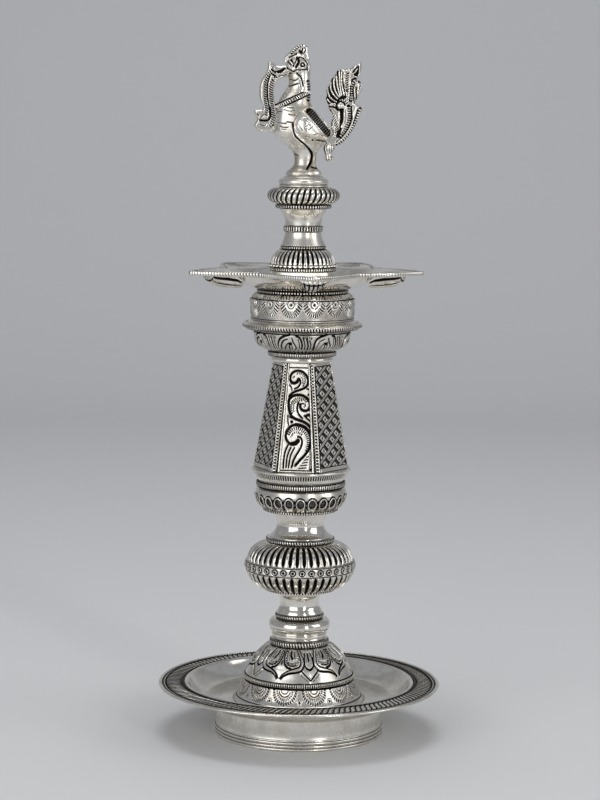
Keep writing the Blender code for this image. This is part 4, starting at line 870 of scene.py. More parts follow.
def draw_scrolls(relief):
    """The scrolls' black outlines, and the ticks that fill them."""
    draw, comb = relief.draw, relief.comb
    draw([(-0.5, 3.8), (2.4, 7.2), (4.8, 9.8), (6.9, 13), (8.1, 16.5), (8, 20.2), (6.3, 23.6), (3.2, 25.9),
          (-0.6, 26.7), (-3.9, 25.3), (-6, 22.4), (-6.3, 19.3), (-5, 16.8), (-2.6, 15.5), (-0.3, 15.9),
          (0.9, 17.2)], 1.5)
    draw([(7.4, 14.6), (8.2, 18.4), (7, 22.4), (3.6, 25.6), (-0.8, 26.5)], 1.9)
    draw([(-2.6, 15.9), (-0.6, 16.5), (0.7, 17.8)], 2.2)
    draw([(0.6, 19.9), (1.9, 19.6), (2.9, 17.8), (2.8, 15.2), (1.6, 12.4), (-0.2, 9.4), (-1.7, 6.2),
          (-2.5, 2.8)], 1.15)
    draw([(-7.3, 2.2), (-7.1, 7), (-6.4, 11.5), (-4.9, 15.2)], 1)
    draw([(-5.7, 2.6), (-5.3, 8), (-4.4, 11.2), (-3.2, 13.9)], 0.9)
    draw([(-4.3, 2.6), (-3.6, 8), (-2.6, 11), (-1.2, 13.6)], 0.9)
    for k in range(5):
        draw([(1.5 + 1.0 * k, 2.2 + 1.55 * k), (5.8 + 0.3 * k, 2.6 + 1.6 * k)], 0.55, 0.85)
    comb([(8.3, 2.2), (8.4, 8), (8.3, 13.6)], 1.1, 1)
    comb([(5.9, 12.4), (6.7, 16), (6.2, 19.6), (4.4, 22.4), (1.5, 24.2), (-1.5, 24.3), (-3.8, 22.9),
          (-4.9, 20.6)], 1.15, 1)
    comb([(2.6, 21.2), (0.2, 22.4), (-2, 21.8), (-3, 20.2)], 1.1, 0.6)
    draw([(-5, 40.6), (-5.3, 38), (-4.9, 34.6), (-3.6, 31.5), (-1.3, 29.9), (1.5, 29), (4.2, 28), (6.6, 26.2),
          (8.2, 23.8)], 1.6)
    draw([(-5, 40.6), (-3.2, 42.4), (-0.4, 43.2), (2.6, 42.9), (5.2, 41.4), (6.9, 38.8)], 1.6)
    draw([(0.3, 39), (-0.3, 36.6), (-0.1, 34.2), (0.9, 32.2), (2.8, 30.2)], 1.1)
    draw([(1.4, 37.9), (1.5, 36.2), (2.6, 34.9), (4.6, 34.4), (6.1, 35.2), (6.8, 37), (6.6, 38.8)], 1.5)
    draw([(2.2, 38.3), (3.4, 38.4), (4.3, 37.6), (3.9, 36.6)], 0.7)
    comb([(-3.3, 33.2), (-3.9, 36), (-3.3, 38.7), (-1.5, 40.7), (1, 41.4), (3.8, 40.6), (5.2, 39)], 1.1, 0.75)
    comb([(-2.1, 34.2), (-2.4, 36.6), (-1.8, 38.6), (-0.2, 39.8), (2, 40.1)], 1.1, 0.5)
    draw([(5.2, 31.8), (6.4, 32.2)], 1.6)
    draw([(3.8, 31.8), (5.2, 30.4), (7.2, 28.6), (8.7, 26.6)], 0.9)
    draw([(7, 31.4), (7.7, 29.8), (8.7, 28.2)], 0.7)
    draw([(-3.3, 28.1), (-3, 28.1)], 1.6)
    draw([(-5.4, 31.6), (-5.4, 28.6), (-4.9, 26.2)], 0.8)
    draw([(-4.5, 30.9), (-3.3, 30.2)], 0.7)
    draw([(-4.7, 51.4), (-4.5, 53.9), (-2.9, 55.9), (-0.4, 56.7), (2.3, 56.1), (4.4, 54.2), (5.4, 51.6),
          (5.2, 49), (3.6, 47.2), (1.2, 46.1), (-1.4, 45.2), (-3.6, 43.9), (-5, 42.2)], 1.35)
    draw([(-4.6, 51.2), (-3.6, 50), (-2, 49.8), (-0.6, 50.6), (-0.1, 51.8)], 1.7)
    draw([(0.3, 52.4), (1.1, 51), (0.9, 49), (-0.3, 47.4), (-2, 46.6)], 1)
    comb([(2.9, 48.6), (3.9, 51), (3.4, 53.6), (1.4, 55.1), (-1.2, 55.2)], 1.1, 0.6)
    comb([(2.4, 50), (2.6, 52), (1.4, 53.6)], 1.1, 0.4)
    draw([(5, 46.8), (6.2, 46.2), (6.6, 44.6), (5.7, 43.2)], 0.8)
    draw([(-4.9, 48.8), (-3.9, 47.4), (-3.5, 45.9)], 0.8)
    draw([(-3, 52.9), (-2.2, 53.3)], 0.6, 0.7)


def lattice_face(relief, half, cell):
    """Leaning bands over cross bands, with a diamond stud in each cell."""
    u, v = relief.u, relief.v
    x = (u - 0.6) / cell
    y = (v - 39.3) / 7.25 + 0.2 * x
    gap = np.abs(wrapped(x + y))
    band = np.abs(wrapped(x - y))
    stud = np.maximum(gap, band)
    relief.blacken(0.92)
    relief.raise_up(ramp(gap, 0.43, 0.46), 0.15)
    relief.blacken(0.62 * (gap > 0.45))
    over = ramp(band, 0.36, 0.39)
    face = 1 - ramp(stud, 0.26, 0.29)
    relief.height += 0.35 * over + 0.65 * face
    relief.black = (relief.black * (1 - over) + 0.40 * over) * (1 - face)
    relief.cut(stroke(stud - 0.16, 0.035, 0.02), 0.1, 0.25)
    relief.cut(1 - ramp(stud, 0.07, 0.115), 0.4)
    framed = window(v, 2.6, relief.top - 2.2) * (1 - ramp(np.abs(u), half - 0.9, half - 0.7))
    relief.height *= framed
    relief.black *= framed
    for up in (2.3, relief.top - 1.9):
        ring_line(relief, up, 0.5, 0.3)
    relief.cut(stroke(np.abs(u) - half + 0.8, 0.5), 0.35)


class SWANLAMP_OT_dish(bpy.types.Operator):
    """Five-spouted oil dish, the ring it sits on and the leaves under its spouts"""

    bl_idname = "swan_lamp.dish"
    bl_label = "Build dish"

    def execute(self, context):
        rope_ring("dish_bead_ring", 0.9, 96, 0.4, margin=0.2, rows=14, bore_share=0.6)
        build_dish()
        for number in range(SPOUTS):
            build_spout_leaf(number)
        return {"FINISHED"}


SPOUTS = 5
SPOUT_TURN = math.radians(6.0)
DISH_VALLEY = 47.5
DISH_BOWL = 42.5
DISH_FLOOR = 25.0
DISH_EDGE = 2.6
SHEET = 1.3
RIM_TOOTH = 1.7


def build_dish():
    """A sheet that rises from its floor to a star-shaped rim with a ticked edge and veined spouts."""
    low, high = box("oil_dish")
    floor, rim = low[2], high[2]
    tip = -low[1] / math.cos(SPOUT_TURN)
    depth = rim - floor - SHEET
    columns = fine(1500)
    angle = TAU * np.arange(columns) / columns
    share = 1 - np.abs(wrapped(angle - SPOUT_TURN, TAU / SPOUTS)) / (TAU / SPOUTS / 2)
    soft = np.clip(1.034 - np.sqrt((1 - share) ** 2 + 0.0012), 0, 1)
    edge = DISH_VALLEY + (tip - DISH_VALLEY) * soft**1.6
    trough = 1.6 * share**3
    mid = (DISH_BOWL + edge) / 2

    def rows_of(*rows):
        return [np.stack([radius + 0 * edge, height + 0 * edge], axis=-1) for radius, height in rows]

    under = curve(rows_of((5.6, floor), (DISH_FLOOR, floor), (DISH_BOWL * 0.86, floor + depth * 0.36),
                          (DISH_BOWL, rim - SHEET - depth * 0.22), (mid, rim - SHEET - trough),
                          (edge - 0.8, rim - SHEET - trough * 0.6)), 9)
    turns = [math.pi * k / 10 for k in range(11)]
    lip = rows_of(*[(edge - 0.7 + 0.7 * math.sin(t), rim - DISH_EDGE / 2 * (1 + math.cos(t))) for t in turns])
    over = curve(rows_of((edge - 1.5, rim - 0.1), (mid, rim - trough - 0.4),
                         (DISH_BOWL - 0.6, rim - depth * 0.17),
                         (DISH_BOWL * 0.83, floor + SHEET + depth * 0.36), (DISH_FLOOR, floor + SHEET),
                         (5.6, floor + SHEET)), 12)
    rows = np.concatenate([under, lip, over])
    radius, height = rows[..., 0], rows[..., 1]
    black = np.zeros(radius.shape)

    x, y = edge * np.sin(angle), -edge * np.cos(angle)
    steps = np.hypot(np.diff(x, append=x[0]), np.diff(y, append=y[0]))
    phase = np.append(0, np.cumsum(steps)[:-1]) / steps.sum() * round(steps.sum() / RIM_TOOTH)
    for k, t in enumerate(turns):
        tooth = rounded(phase + 0.05 * k)
        radius[len(under) + k] -= 0.5 * (1 - tooth) * math.sin(t)
        black[len(under) + k] = (1 - ramp(tooth, 0.35, 0.75)) * min(1.0, math.sin(t) * 1.6)
    top = slice(len(under) + len(lip), None)
    spoke = np.abs(wrapped(angle - SPOUT_TURN, TAU / SPOUTS)) * radius[top]
    inwards = edge - radius[top]
    ticks = stroke(wrapped(phase) * RIM_TOOTH, 0.7) * window(inwards, 1.7, 3.2)
    cuts = np.maximum(stroke(inwards - 3.4, 0.5), ticks)
    for slope in (0.0, 0.18, 0.40, 0.66):
        vein = stroke(spoke - slope * (inwards - 2.0) * 1.1, 0.55) * window(radius[top], 46, 64, 3)
        cuts = np.maximum(cuts, vein * (inwards > 4))
    height[top] -= 0.25 * cuts
    black[top] = 0.85 * cuts
    points = np.stack([radius * np.sin(angle), -radius * np.cos(angle), height], axis=-1).reshape(-1, 3)
    add_piece("oil_dish", points, ring_quads(len(rows), columns, True), black, "bright")


def build_spout_leaf(number):
    """A scallop shell that hangs under a spout and narrows down to the bowl."""
    node = f"spout_leaf_{number + 1}"
    low, high = box("oil_dish")
    top, depth = high[2] - SHEET - 1.7, high[2] - low[2] - SHEET
    foot = box(node)[0][2]
    rows, columns = fine(120), fine(170)
    line, _ = spread(curve([(58.4, top + 0.4), (58.0, top - 2.2), (55.4, top - 4.6), (50.0, foot - 0.2),
                            (44.0, foot - 0.9), (38.6, foot - 0.4)], 10), rows)
    across, share = np.meshgrid(np.linspace(-1, 1, columns), np.linspace(0, 1, rows))
    lobe = np.abs(np.sin(across * math.pi * 3.5))
    half = 9.8 - 4.4 * share**0.8
    out = line[:, :1] + 0.8 * (lobe - 1) * (1 - share) ** 6
    under = np.interp(out, [36.5, 42.5, 48, 66],
                      [low[2] + depth * 0.36, high[2] - SHEET - depth * 0.22, top + 0.6, top + 1.3])
    groove = (1 - ramp(lobe, 0.45, 0.72)) * window(share, 0.14, 0.97, 0.05)
    sides = ramp(np.abs(across), 0.90, 0.95)
    marks = np.maximum(np.maximum(groove, stroke(share - 0.12, 0.05, 0.03)), 0.22 * sides)
    face = line[:, 1:] + (under - line[:, 1:]) * np.abs(across) ** 2.6
    face = face - 0.5 * lobe * (1 - sides) + 0.5 * groove
    turn = SPOUT_TURN + TAU * number / SPOUTS
    x = out * math.sin(turn) + across * half * math.cos(turn)
    y = -out * math.cos(turn) + across * half * math.sin(turn)
    points, quads = sheet_solid(np.stack([x, y, np.maximum(under, face) + 0.3], axis=-1),
                                np.stack([x, y, face], axis=-1))
    add_piece(node, points, quads, np.tile(marks.ravel(), 2), "chased")


class SWANLAMP_OT_stem(bpy.types.Operator):
    """The stem in the dish, from its fluted dome to the plinth under the swan"""

    bl_idname = "swan_lamp.stem"
    bl_label = "Build stem"

    def execute(self, context):
        radius, tall = size("stem_foot")
        bead = radius - 1.0
        turned("stem_foot", [(bead, 0), (bead, tall - 2.5)] + bow(bead, tall - 2.4, tall, 1.0, 10), 80 * 9,
               40, "chased", 9, lambda relief: rope(relief, 80, 0.5, first=0.78, last=0.97))
        build_stem_dome()
        rope_ring("stem_rope_ring", 0.8, 56, 0.35, margin=0.15, rows=14, bore_share=0.6)
        _, tall = size("stem_lower_neck")
        turned("stem_lower_neck", curve([(12.6, 0), (11.6, 2.4), (10.7, 4.8), (10.2, tall)]), 160, 44,
               "satin", 6.5)
        build_stem_band()
        _, tall = size("stem_upper_neck")
        turned("stem_upper_neck", curve([(10.2, 0), (10.5, 3.0), (11.5, 6.0), (13.4, tall)]), 160, 50,
               "satin", 6.5)
        rope_ring("stem_bead_collar", 0.9, 62, 0.45, margin=0.12, bore_share=0.5)
        radius, tall = size("twisted_collar")
        turned("twisted_collar", bow(14.6, 0, tall, radius - 14.6, 20), 38 * 18, 60, "chased", 8, gadroons)
        radius, tall = size("swan_plinth")
        outline = [(radius - 0.6, 0)] + bow(radius - 0.5, 0, 1.1, 0.5, 6)
        outline += curve([(radius - 0.8, 1.3), (radius - 0.2, 2.0), (radius - 0.1, 3.4), (radius - 0.9, 4.4),
                          (radius - 2.8, tall - 0.8), (radius - 3.3, tall)], 6) + [(4, tall)]
        turned("swan_plinth", outline, 192, 60, "satin", 4,
               lambda relief: ring_line(relief, 1.9, 0.4, 0.15, 0.8))
        return {"FINISHED"}


def build_stem_dome():
    radius, tall = size("stem_dome")
    outline = bow(radius - 0.6, 0, 1.4, 0.6, 6)
    outline += curve([(radius - 0.9, 1.6), (radius - 1.3, 3.2), (17.2, 5.8), (15.2, 8.2), (13.2, tall)])

    def dome_ribs(relief):
        flutes(relief, 38, 0.8, 0.52, 0.22, 0.16, start=2.2)
        ring_line(relief, 2.1, 0.5, 0.2, 0.9)
        ring_line(relief, relief.top - 0.2, 0.4, 0.1, 0.9)

    turned("stem_dome", outline, 38 * 16, 70, "chased", 8, dome_ribs)


def build_stem_band():
    radius, tall = size("stem_band")

    def band(relief):
        hatch(relief, 44, 0.7, relief.top - 0.7)
        ring_line(relief, 0.35, 0.5, 0.2)
        ring_line(relief, relief.top - 0.35, 0.5, 0.2)

    outline = [(radius - 0.5, 0), (radius, 0.5), (radius, tall - 0.5), (radius - 0.5, tall)]
    turned("stem_band", outline, 44 * 12, 24, "chased", 6.5, band)


def gadroons(relief):
    """Slanted rounded ribs right round the collar, with black between."""
    share = relief.v / relief.top
    lean = 1.3 * (share - 0.5) + 0.25 * np.sin(TAU * share) / TAU
    ribs(relief, relief.angle / TAU * 38 - lean, 0.9, window(share, 0.03, 0.97, 0.06), 0.70, 0.92)


class SWANLAMP_OT_fittings(bpy.types.Operator):
    """The threaded screws between the sections, and the plain fittings inside them"""

    bl_idname = "swan_lamp.fittings"
    bl_label = "Build fittings"

    def execute(self, context):
        for name in ("base_screw", "bulb_screw", "drum_screw", "stem_screw"):
            radius, tall = size(name)
            outline = [(radius - 0.9, 0), (radius, 0.9), (radius, tall - 0.9), (radius - 0.9, tall)]
            turned(name, outline, 60, 156, "brass", 0.1, thread)
        for name in (
                "neck_bush",
                "tie_rod",
                "bulb_bush",
                "mid_neck_bush",
                "cup_bush",
                "drum_bush",
                "dish_bush",
                "stem_core",
                "tie_nut"):
            materials = frame["nodes"][name].data.materials
            materials.clear()
            materials.append(finishes()["steel" if name == "tie_nut" else "brass"])
        return {"FINISHED"}


def thread(relief):
    """A 1.25 mm thread that ends where the bar is bevelled."""
    turns = np.abs(wrapped(relief.v / 1.25 - relief.angle / TAU)) * 2
    on_bar = window(relief.v, 1.6, relief.top - 1.6, 0.6)
    relief.height -= 0.6 * turns * on_bar
    relief.blacken(0.8 * ramp(turns, 0.7, 1.0) * on_bar)


class SWANLAMP_OT_swan(bpy.types.Operator):
    """The swan: body, crest, garland, necklace, wings, tail and tassel"""

    bl_idname = "swan_lamp.swan"
    bl_label = "Build swan"

    def execute(self, context):
        lofted("swan_body", BODY, box("swan_body")[0][2], 260, 220, "cast", body_pattern, 2.1)
        build_necklace()
        build_wing("swan_wing_left", -1, "Wing_near")
        build_wing("swan_wing_right", 1, "Wing_far")
        relief_plate("swan_tail", TAIL, 2.3, tail_pattern)
        relief_plate("swan_garland", GARLAND, 2.8, garland_pattern)
        relief_plate("swan_crest", CREST, 2.0, crest_pattern)
        lofted("swan_tassel", TASSEL, swan_foot(), 70, 60, "chased", tassel_lobes)
        return {"FINISHED"}


# The swan in its side view: distance behind the lamp's axis, and height above the plinth
TAIL = [
    (13, 17.6), (19.4, 17.5), (24.8, 22.3), (29.3, 29.7), (32.4, 37.9), (28.6, 40.8), (30, 44.6), (32, 48.8),
    (31.6, 52.8), (29.2, 54.4), (30.9, 56.7), (31.6, 63.8), (27.6, 61.9), (24.6, 59.9), (20.6, 59.7),
    (18.3, 59), (16.6, 56.1), (14.8, 54), (13.7, 50.7), (12.3, 48.4), (12.6, 45.3), (11.7, 42.2),
    (13.4, 40.1), (13.6, 37.8), (15.9, 34.2), (14.9, 28), (15.8, 23.6), (11, 21),
]
GARLAND = [
    (-9.9, 62), (-14.9, 61.6), (-20.1, 63.8), (-21.2, 58.7), (-24.3, 53.4), (-25.4, 49), (-25.1, 43),
    (-23.4, 37.7), (-28.2, 36.4), (-26.6, 31.6), (-28.2, 27.9), (-24.2, 24.6), (-17.6, 25.1), (-12, 27),
    (-12, 34), (-16.4, 40.6), (-17.5, 46.8), (-16.6, 51.9), (-12.6, 54.7), (-8, 56.5),
]
CREST = [
    (-12, 63.4), (-11.2, 66.5), (-8.8, 69.1), (-5.2, 72.3), (-1.8, 73.5), (1.4, 72.2), (1.8, 68.4),
    (2.4, 64.4), (-2, 58), (-5.5, 60),
]
# The same for shapes with stations: those two, then the half length and the half width
BODY = [
    (0, 0, 10, 8.2), (0, 2.1, 9.7, 8), (0.4, 5.5, 6.4, 5.6), (0.7, 9.5, 6, 5.4), (0.5, 13.9, 7.4, 6.2),
    (-0.2, 19.1, 12.4, 8.6), (-1.2, 23.9, 16.3, 10), (-2.6, 29.4, 15, 10), (-4.6, 34.5, 12.1, 9),
    (-5.8, 40, 9.5, 7.4), (-4.6, 45.1, 8, 6.4), (-2.9, 50.6, 6.2, 5.7), (-3.2, 56.2, 6.2, 5.7),
    (-3.8, 61.3, 7, 5.8), (-4.3, 65.3, 5.7, 4.8), (-4.4, 67.9, 3.3, 2.8),
]
TASSEL = [
    (14.3, 8.3, 1.2, 1.0), (14.4, 9.7, 2.7, 2.0), (13.9, 11.5, 2.0, 1.7), (13.6, 13.1, 2.3, 1.9),
    (14.0, 15.5, 3.2, 2.3), (14.0, 17.7, 2.6, 2.0), (14.2, 18.7, 1.4, 1.2),
]
# For the wings: those two, then the half height, the half thickness and the distance out from the middle
WING = [
    (-5.9, 28.9, 1.3, 0.7, 8.6), (-3.6, 28.5, 4.2, 1.8, 9), (0.4, 27.1, 6.2, 2.4, 9.2),
    (3.2, 26, 5.4, 2.4, 8.8), (9, 22.7, 2.4, 2, 7.2), (13.2, 20.9, 1, 1, 5.6),
]


def swan_foot():
    """Height of the plinth that the swan stands on."""
    return box("swan_plinth")[1][2]


def capped(node, grid, black, finish, name=None):
    """A closed piece from rings of points, with a fan over each end."""
    rows, columns = grid.shape[:2]
    count = rows * columns
    points = np.vstack([grid.reshape(-1, 3), grid[0].mean(axis=0), grid[-1].mean(axis=0)])
    ring = np.arange(columns)
    fans = [np.column_stack([(ring + 1) % columns + first, ring + first, np.full(columns, tip)])
            for first, tip in ((0, count), (count - columns, count + 1))]
    add_piece(node, points, ring_quads(rows, columns), np.append(black, [0, 0]), finish, np.concatenate(fans),
              name)


def lofted(node, stations, foot, rows, columns, finish, pattern, power=2.0):
    """A closed shape round stations, whose heights are above the foot."""
    rows, columns = fine(rows), fine(columns)
    line, _ = spread(curve(stations), rows, 2)
    turn = TAU * np.arange(columns) / columns
    across = np.sign(np.cos(turn)) * np.abs(np.cos(turn)) ** (2 / power)
    deep = np.sign(np.sin(turn)) * np.abs(np.sin(turn)) ** (2 / power)
    x = line[:, :1] + line[:, 2:3] * across
    z = foot + line[:, 1:2] + 0 * x
    grid = np.stack([x, line[:, 3:4] * deep, z], axis=-1)
    normal = np.cross(np.roll(grid, -1, axis=1) - np.roll(grid, 1, axis=1), np.gradient(grid, axis=0))
    normal /= np.linalg.norm(normal, axis=-1, keepdims=True) + 1e-12
    relief = Relief(x, z - swan_foot(), ramp(np.abs(normal[..., 1]), 0.10, 0.55), 0.5, 0.35)
    pattern(relief)
    capped(node, grid + normal * relief.height[..., None], relief.black, finish)


def body_pattern(relief):
    """The drawn wing and leg, the far wing's hatched strip, and the face."""
    draw, bright = relief.draw, relief.bright
    wing = curve([(-6.4, 30.1), (-6.3, 26.5), (-5.3, 23), (-3, 20.5), (0, 18.1), (2.8, 15.3), (4.3, 12.5),
                  (4.2, 9.5), (3.2, 6.5), (1.4, 0.5), (10.6, 0.5), (7.6, 6.5), (7.1, 11.1), (8.3, 15.4),
                  (12.4, 17.9), (18.5, 17.9), (19.5, 23.5), (12, 31.5), (4.6, 38.5), (-2.5, 36),
                  (-6.4, 30.1)], 3)
    within = inside(relief.u, relief.v, wing)
    distance = to_line(relief.u, relief.v, wing)[0]
    relief.raise_up(np.where(within, ramp(distance, 0, 0.8), 0), 0.9)
    relief.ground([(2.6, 38.4), (5.2, 37.1), (9, 32.5), (13.4, 27.3), (17.6, 21.9), (13, 21.5), (10, 24.2),
                   (5.3, 29.5), (0.6, 34.9)], 0.4, 0.58)
    relief.comb([(2.4, 36.1), (7.2, 31.1), (11.8, 25.7), (15.2, 22.1)], 1.3, 2, 0.65)
    bright([(3.6, 38.9), (5.3, 37.1), (9, 32.5), (13.2, 27.3), (16.2, 24.4), (17.8, 21.7)], 0.9)
    bright([(-0.6, 36.1), (0.2, 35.1), (5.3, 29.5), (10, 24.2), (13, 21.7), (15.4, 20.9)], 0.9)
    draw([(15.4, 19.9), (11, 19.9), (6.6, 20.5)], 0.7, 0.75)
    draw([(-6.4, 29.7), (-6.3, 26.5), (-5.3, 23), (-3, 20.5), (0, 18.1), (2.8, 15.3), (4.3, 12.5), (4.2, 9.5),
          (3.2, 6.5), (1.6, 4.3)], 1.15, 1, 0.8)
    bright([(-4.9, 24.1), (-2.6, 21.5), (0.6, 19.1), (3.5, 16.1), (5.2, 12.7), (5.1, 9.3), (4, 5.9)], 0.7)
    draw([(13, 18.7), (9.6, 16.7), (7.3, 13.5), (6.7, 10.1), (6.8, 6.1)], 1, 1, 0.7)
    bright([(12.6, 17.5), (9.8, 15.7), (8.2, 12.9), (7.7, 9.5), (7.8, 6.3)], 0.7)
    draw([(4.6, 20.8), (4.6, 20.4)], 1)
    draw([(10.4, 5.5), (7, 4.1), (4, 4.9)], 1, 0.8)
    for line, width in (
            ([(-11.5, 37.3), (-8, 36.4), (-5.2, 36.9)], 0.55),
            ([(-9.4, 38.5), (-5.6, 38.3)], 0.5),
            ([(-8.8, 34.7), (-6.8, 34.2), (-5, 34.2)], 0.7),
            ([(-9.9, 30.6), (-8.2, 30.1), (-7.2, 30.1)], 0.8),
            ([(-15, 30), (-11.6, 29.4), (-10, 29.8)], 0.6),
            ([(-12.8, 26.1), (-10.2, 25.9)], 0.55),
            ([(-14, 27.9), (-11.5, 27.1), (-9, 27.3)], 0.65),
            ([(-15.4, 35.8), (-12.8, 36.4)], 0.6),
            ([(-4.2, 28.7), (-2.6, 26.9), (-1, 25.4)], 0.6),
            ([(-3, 29.9), (-1, 30.4), (2, 30.3)], 0.5),
            ([(-5.2, 12.4), (-3.4, 11.4)], 0.9),
            ([(-3.2, 25.1), (-1.6, 23.7)], 0.5)):
        draw(line, 0.85 * width, 0.7, 0.25)
    draw([(-11.9, 63.9), (-7.6, 67), (-4.8, 68)], 0.85)
    relief.ground([(-10.4, 63.9), (-8, 61.3), (-5.9, 62.9), (-7.4, 66.1)], 0.3, 0.8)
    bright([(-8.7, 64), (-7.1, 62.4)], 0.7)
    draw([(-12.2, 62.7), (-9.2, 59.7)], 0.9)
    bright([(-11.6, 63.8), (-8.6, 60.5)], 0.8)
    bright([(-8.4, 60.3), (-6.4, 61.7), (-4.9, 63.7)], 0.6)
    draw([(-4.6, 66.5), (-5.2, 63.9), (-6.6, 61.1)], 0.8)
    draw([(-3.9, 66.1), (-3.5, 63.5), (-4.9, 60.9)], 1.5, 1, 0.6)
    draw([(-4, 66.3), (-1.2, 66.1), (1, 63.7), (1.4, 60.7), (1.6, 59.1)], 0.8)
    bright([(-2.6, 67.5), (0.4, 66.7), (2.2, 63.5), (2.4, 59.9)], 0.6)
    eye = np.hypot(relief.u + 1.2, relief.v - 62.1)
    relief.cut(1 - ramp(eye, 1.35, 1.65), 0.3)
    relief.raise_up(stroke(eye - 1.9, 0.5), 0.2)
    bright([(-1.3, 62.3), (-1.1, 62)], 0.9, 0.3)
    draw([(-8.6, 59.5), (-6.5, 58.3), (-5, 59.2), (-2.6, 59.2), (0.2, 59.5), (1.6, 59.9)], 0.7)
    bright([(-8.4, 58.5), (-6.4, 57.4), (-4.4, 58.3), (-1.6, 58.3)], 0.6)
    draw([(-12.8, 57.7), (-9.6, 56.9), (-7.6, 57.5)], 0.8, 0.85)
    draw([(-4.4, 57.3), (-2.2, 55.3), (-1.2, 52.3), (-0.8, 50.5)], 1, 0.8)
    draw([(-9, 50.3), (-6.2, 50.9), (-3.8, 51.7)], 0.7, 0.85)
    draw([(-9.4, 54.3), (-6, 53.3), (-3.6, 54.3)], 0.6, 0.6)
    draw([(-2.9, 51.9), (-2, 49.5), (-2.2, 47.1)], 0.6, 0.6)
    relief.comb([(1.9, 52.9), (2.4, 50.1), (2.8, 46.3), (2.2, 42.7)], 1.5, 1, 0.75)


def tassel_lobes(relief):
    for k in range(5):
        x = 11.2 + 1.4 * k
        relief.draw([(x, 17.5), (x + 0.3, 14.5), (x + 0.9, 12.5)], 0.4, 0.9, 0.3)
    for k in range(3):
        relief.draw([(12.4 + 1.5 * k, 11.5), (12.5 + 1.5 * k, 9.1)], 0.4, 0.9, 0.3)


def build_necklace():
    """A leaning collar: a hatched band between two black lines."""
    rows, columns = fine(44), fine(520)
    middle = np.array([-6.6, 0, 42.7 + swan_foot()])
    lean = np.array([-0.42, 0, 0.907]) / math.hypot(0.42, 0.907)
    along = np.array([lean[2], 0, -lean[0]])
    turn, share = np.meshgrid(TAU * np.arange(columns) / columns, np.linspace(0, 1, rows))
    swell = 1.0 + 0.045 * np.sin(math.pi * share) - 0.03 * share
    groove = (1 - ramp(rounded(turn / TAU * 46 + 0.35 * share), 0.74, 0.94)) * window(share, 0.30, 0.70, 0.06)
    black = np.maximum(groove, stroke(share - 0.16, 0.21, 0.06) + stroke(share - 0.84, 0.21, 0.06))
    half, side = [reach * swell - 0.5 * black for reach in (10.6, 8.5)]
    centre = middle + ((share - 0.5) * 4.0)[..., None] * lean
    across = np.array([0, 1, 0])
    outer = centre + (half * np.cos(turn))[..., None] * along + (side * np.sin(turn))[..., None] * across
    points = np.concatenate([outer, (centre + (outer - centre) * 0.86)[::-1]]).reshape(-1, 3)
    add_piece("swan_necklace", points, ring_quads(2 * rows, columns, True), np.append(black, 0 * black),
              "chased")


def build_wing(node, side, name):
    """A folded wing lying along the body, with feather lines."""
    line, _ = spread(curve(WING), fine(150))
    turn = TAU * np.arange(fine(110)) / fine(110)
    up = line[:, 1:2] + line[:, 2:3] * np.sin(turn)
    thick = line[:, 3:4] * np.abs(np.cos(turn)) ** 0.8 * np.sign(np.cos(turn))
    relief = Relief(line[:, :1] + 0 * up, up, ramp(thick * side, 0, 0.6), 0.5, 0.35)
    relief.cut(stroke((np.sin(turn) - 0.72) * 6, 0.5), 0.2, 0.4)
    for feather in ([(0, 26.9), (2.2, 28.9), (5, 28.5)], [(0, 26.9), (2.6, 25.9), (5, 28.5)],
                    [(-3.6, 29.1), (-2, 27.1), (-0.8, 25.5)], [(5.4, 23.1), (8, 23.9), (10.4, 22.5)],
                    [(0.6, 22.5), (2.6, 21.9), (3.6, 20.5)]):
        relief.draw(feather, 0.5, 0.6, 0.2)
    y = side * (line[:, 4:5] + relief.height) + thick
    capped(node, np.stack([relief.u, y, up + swan_foot()], axis=-1), relief.black, "cast", name)


def relief_plate(node, outline, half, pattern):
    """A flat piece in the swan's side view, rounded at its edge and chased alike on both faces."""
    ring = curve(outline + outline[:1])[:-1]
    step = 0.27
    length = sum(math.dist(a, b) for a, b in zip(ring, ring[1:]))
    border = spread(ring + ring[:1], int(length / step) + 2)[0][:-1]
    low, high = border.min(axis=0), border.max(axis=0)
    u, v = np.meshgrid(np.arange(low[0], high[0], step), np.arange(low[1], high[1], step))
    loop = border.tolist()
    keep = inside(u, v, loop) & (to_line(u, v, loop + loop[:1])[0] > step * 0.55)
    flat = np.vstack([border, np.column_stack([u[keep], v[keep]])])
    edges = [(k, (k + 1) % len(border)) for k in range(len(border))]
    found = delaunay_2d_cdt([Vector(point) for point in flat.tolist()], edges, [], 1, 1e-7)
    x, z = np.array([tuple(point) for point in found[0]]).T
    triangles = np.array([face for face in found[2] if len(face) == 3])
    distance = to_line(x, z, loop + loop[:1])[0]
    relief = Relief(x, z, 1.0, 0.5, 0.35)
    pattern(relief)
    face = half * (0.42 + 0.58 * np.sqrt(np.clip(distance / 1.1, 0, 1)))
    face = face + relief.height * ramp(distance, 0, 0.3)
    sides = {edge for a, b, c in triangles.tolist() for edge in ((a, b), (b, c), (c, a))}
    walls = [(b, a, a + len(x), b + len(x)) for a, b in sorted(sides) if (b, a) not in sides]
    faces = np.concatenate([triangles, triangles[:, ::-1] + len(x)])
    z = z + swan_foot()
    points = np.vstack([np.column_stack([x, -face, z]), np.column_stack([x, face, z])])
    add_piece(node, points, walls, np.tile(relief.black, 2), "chased", faces)


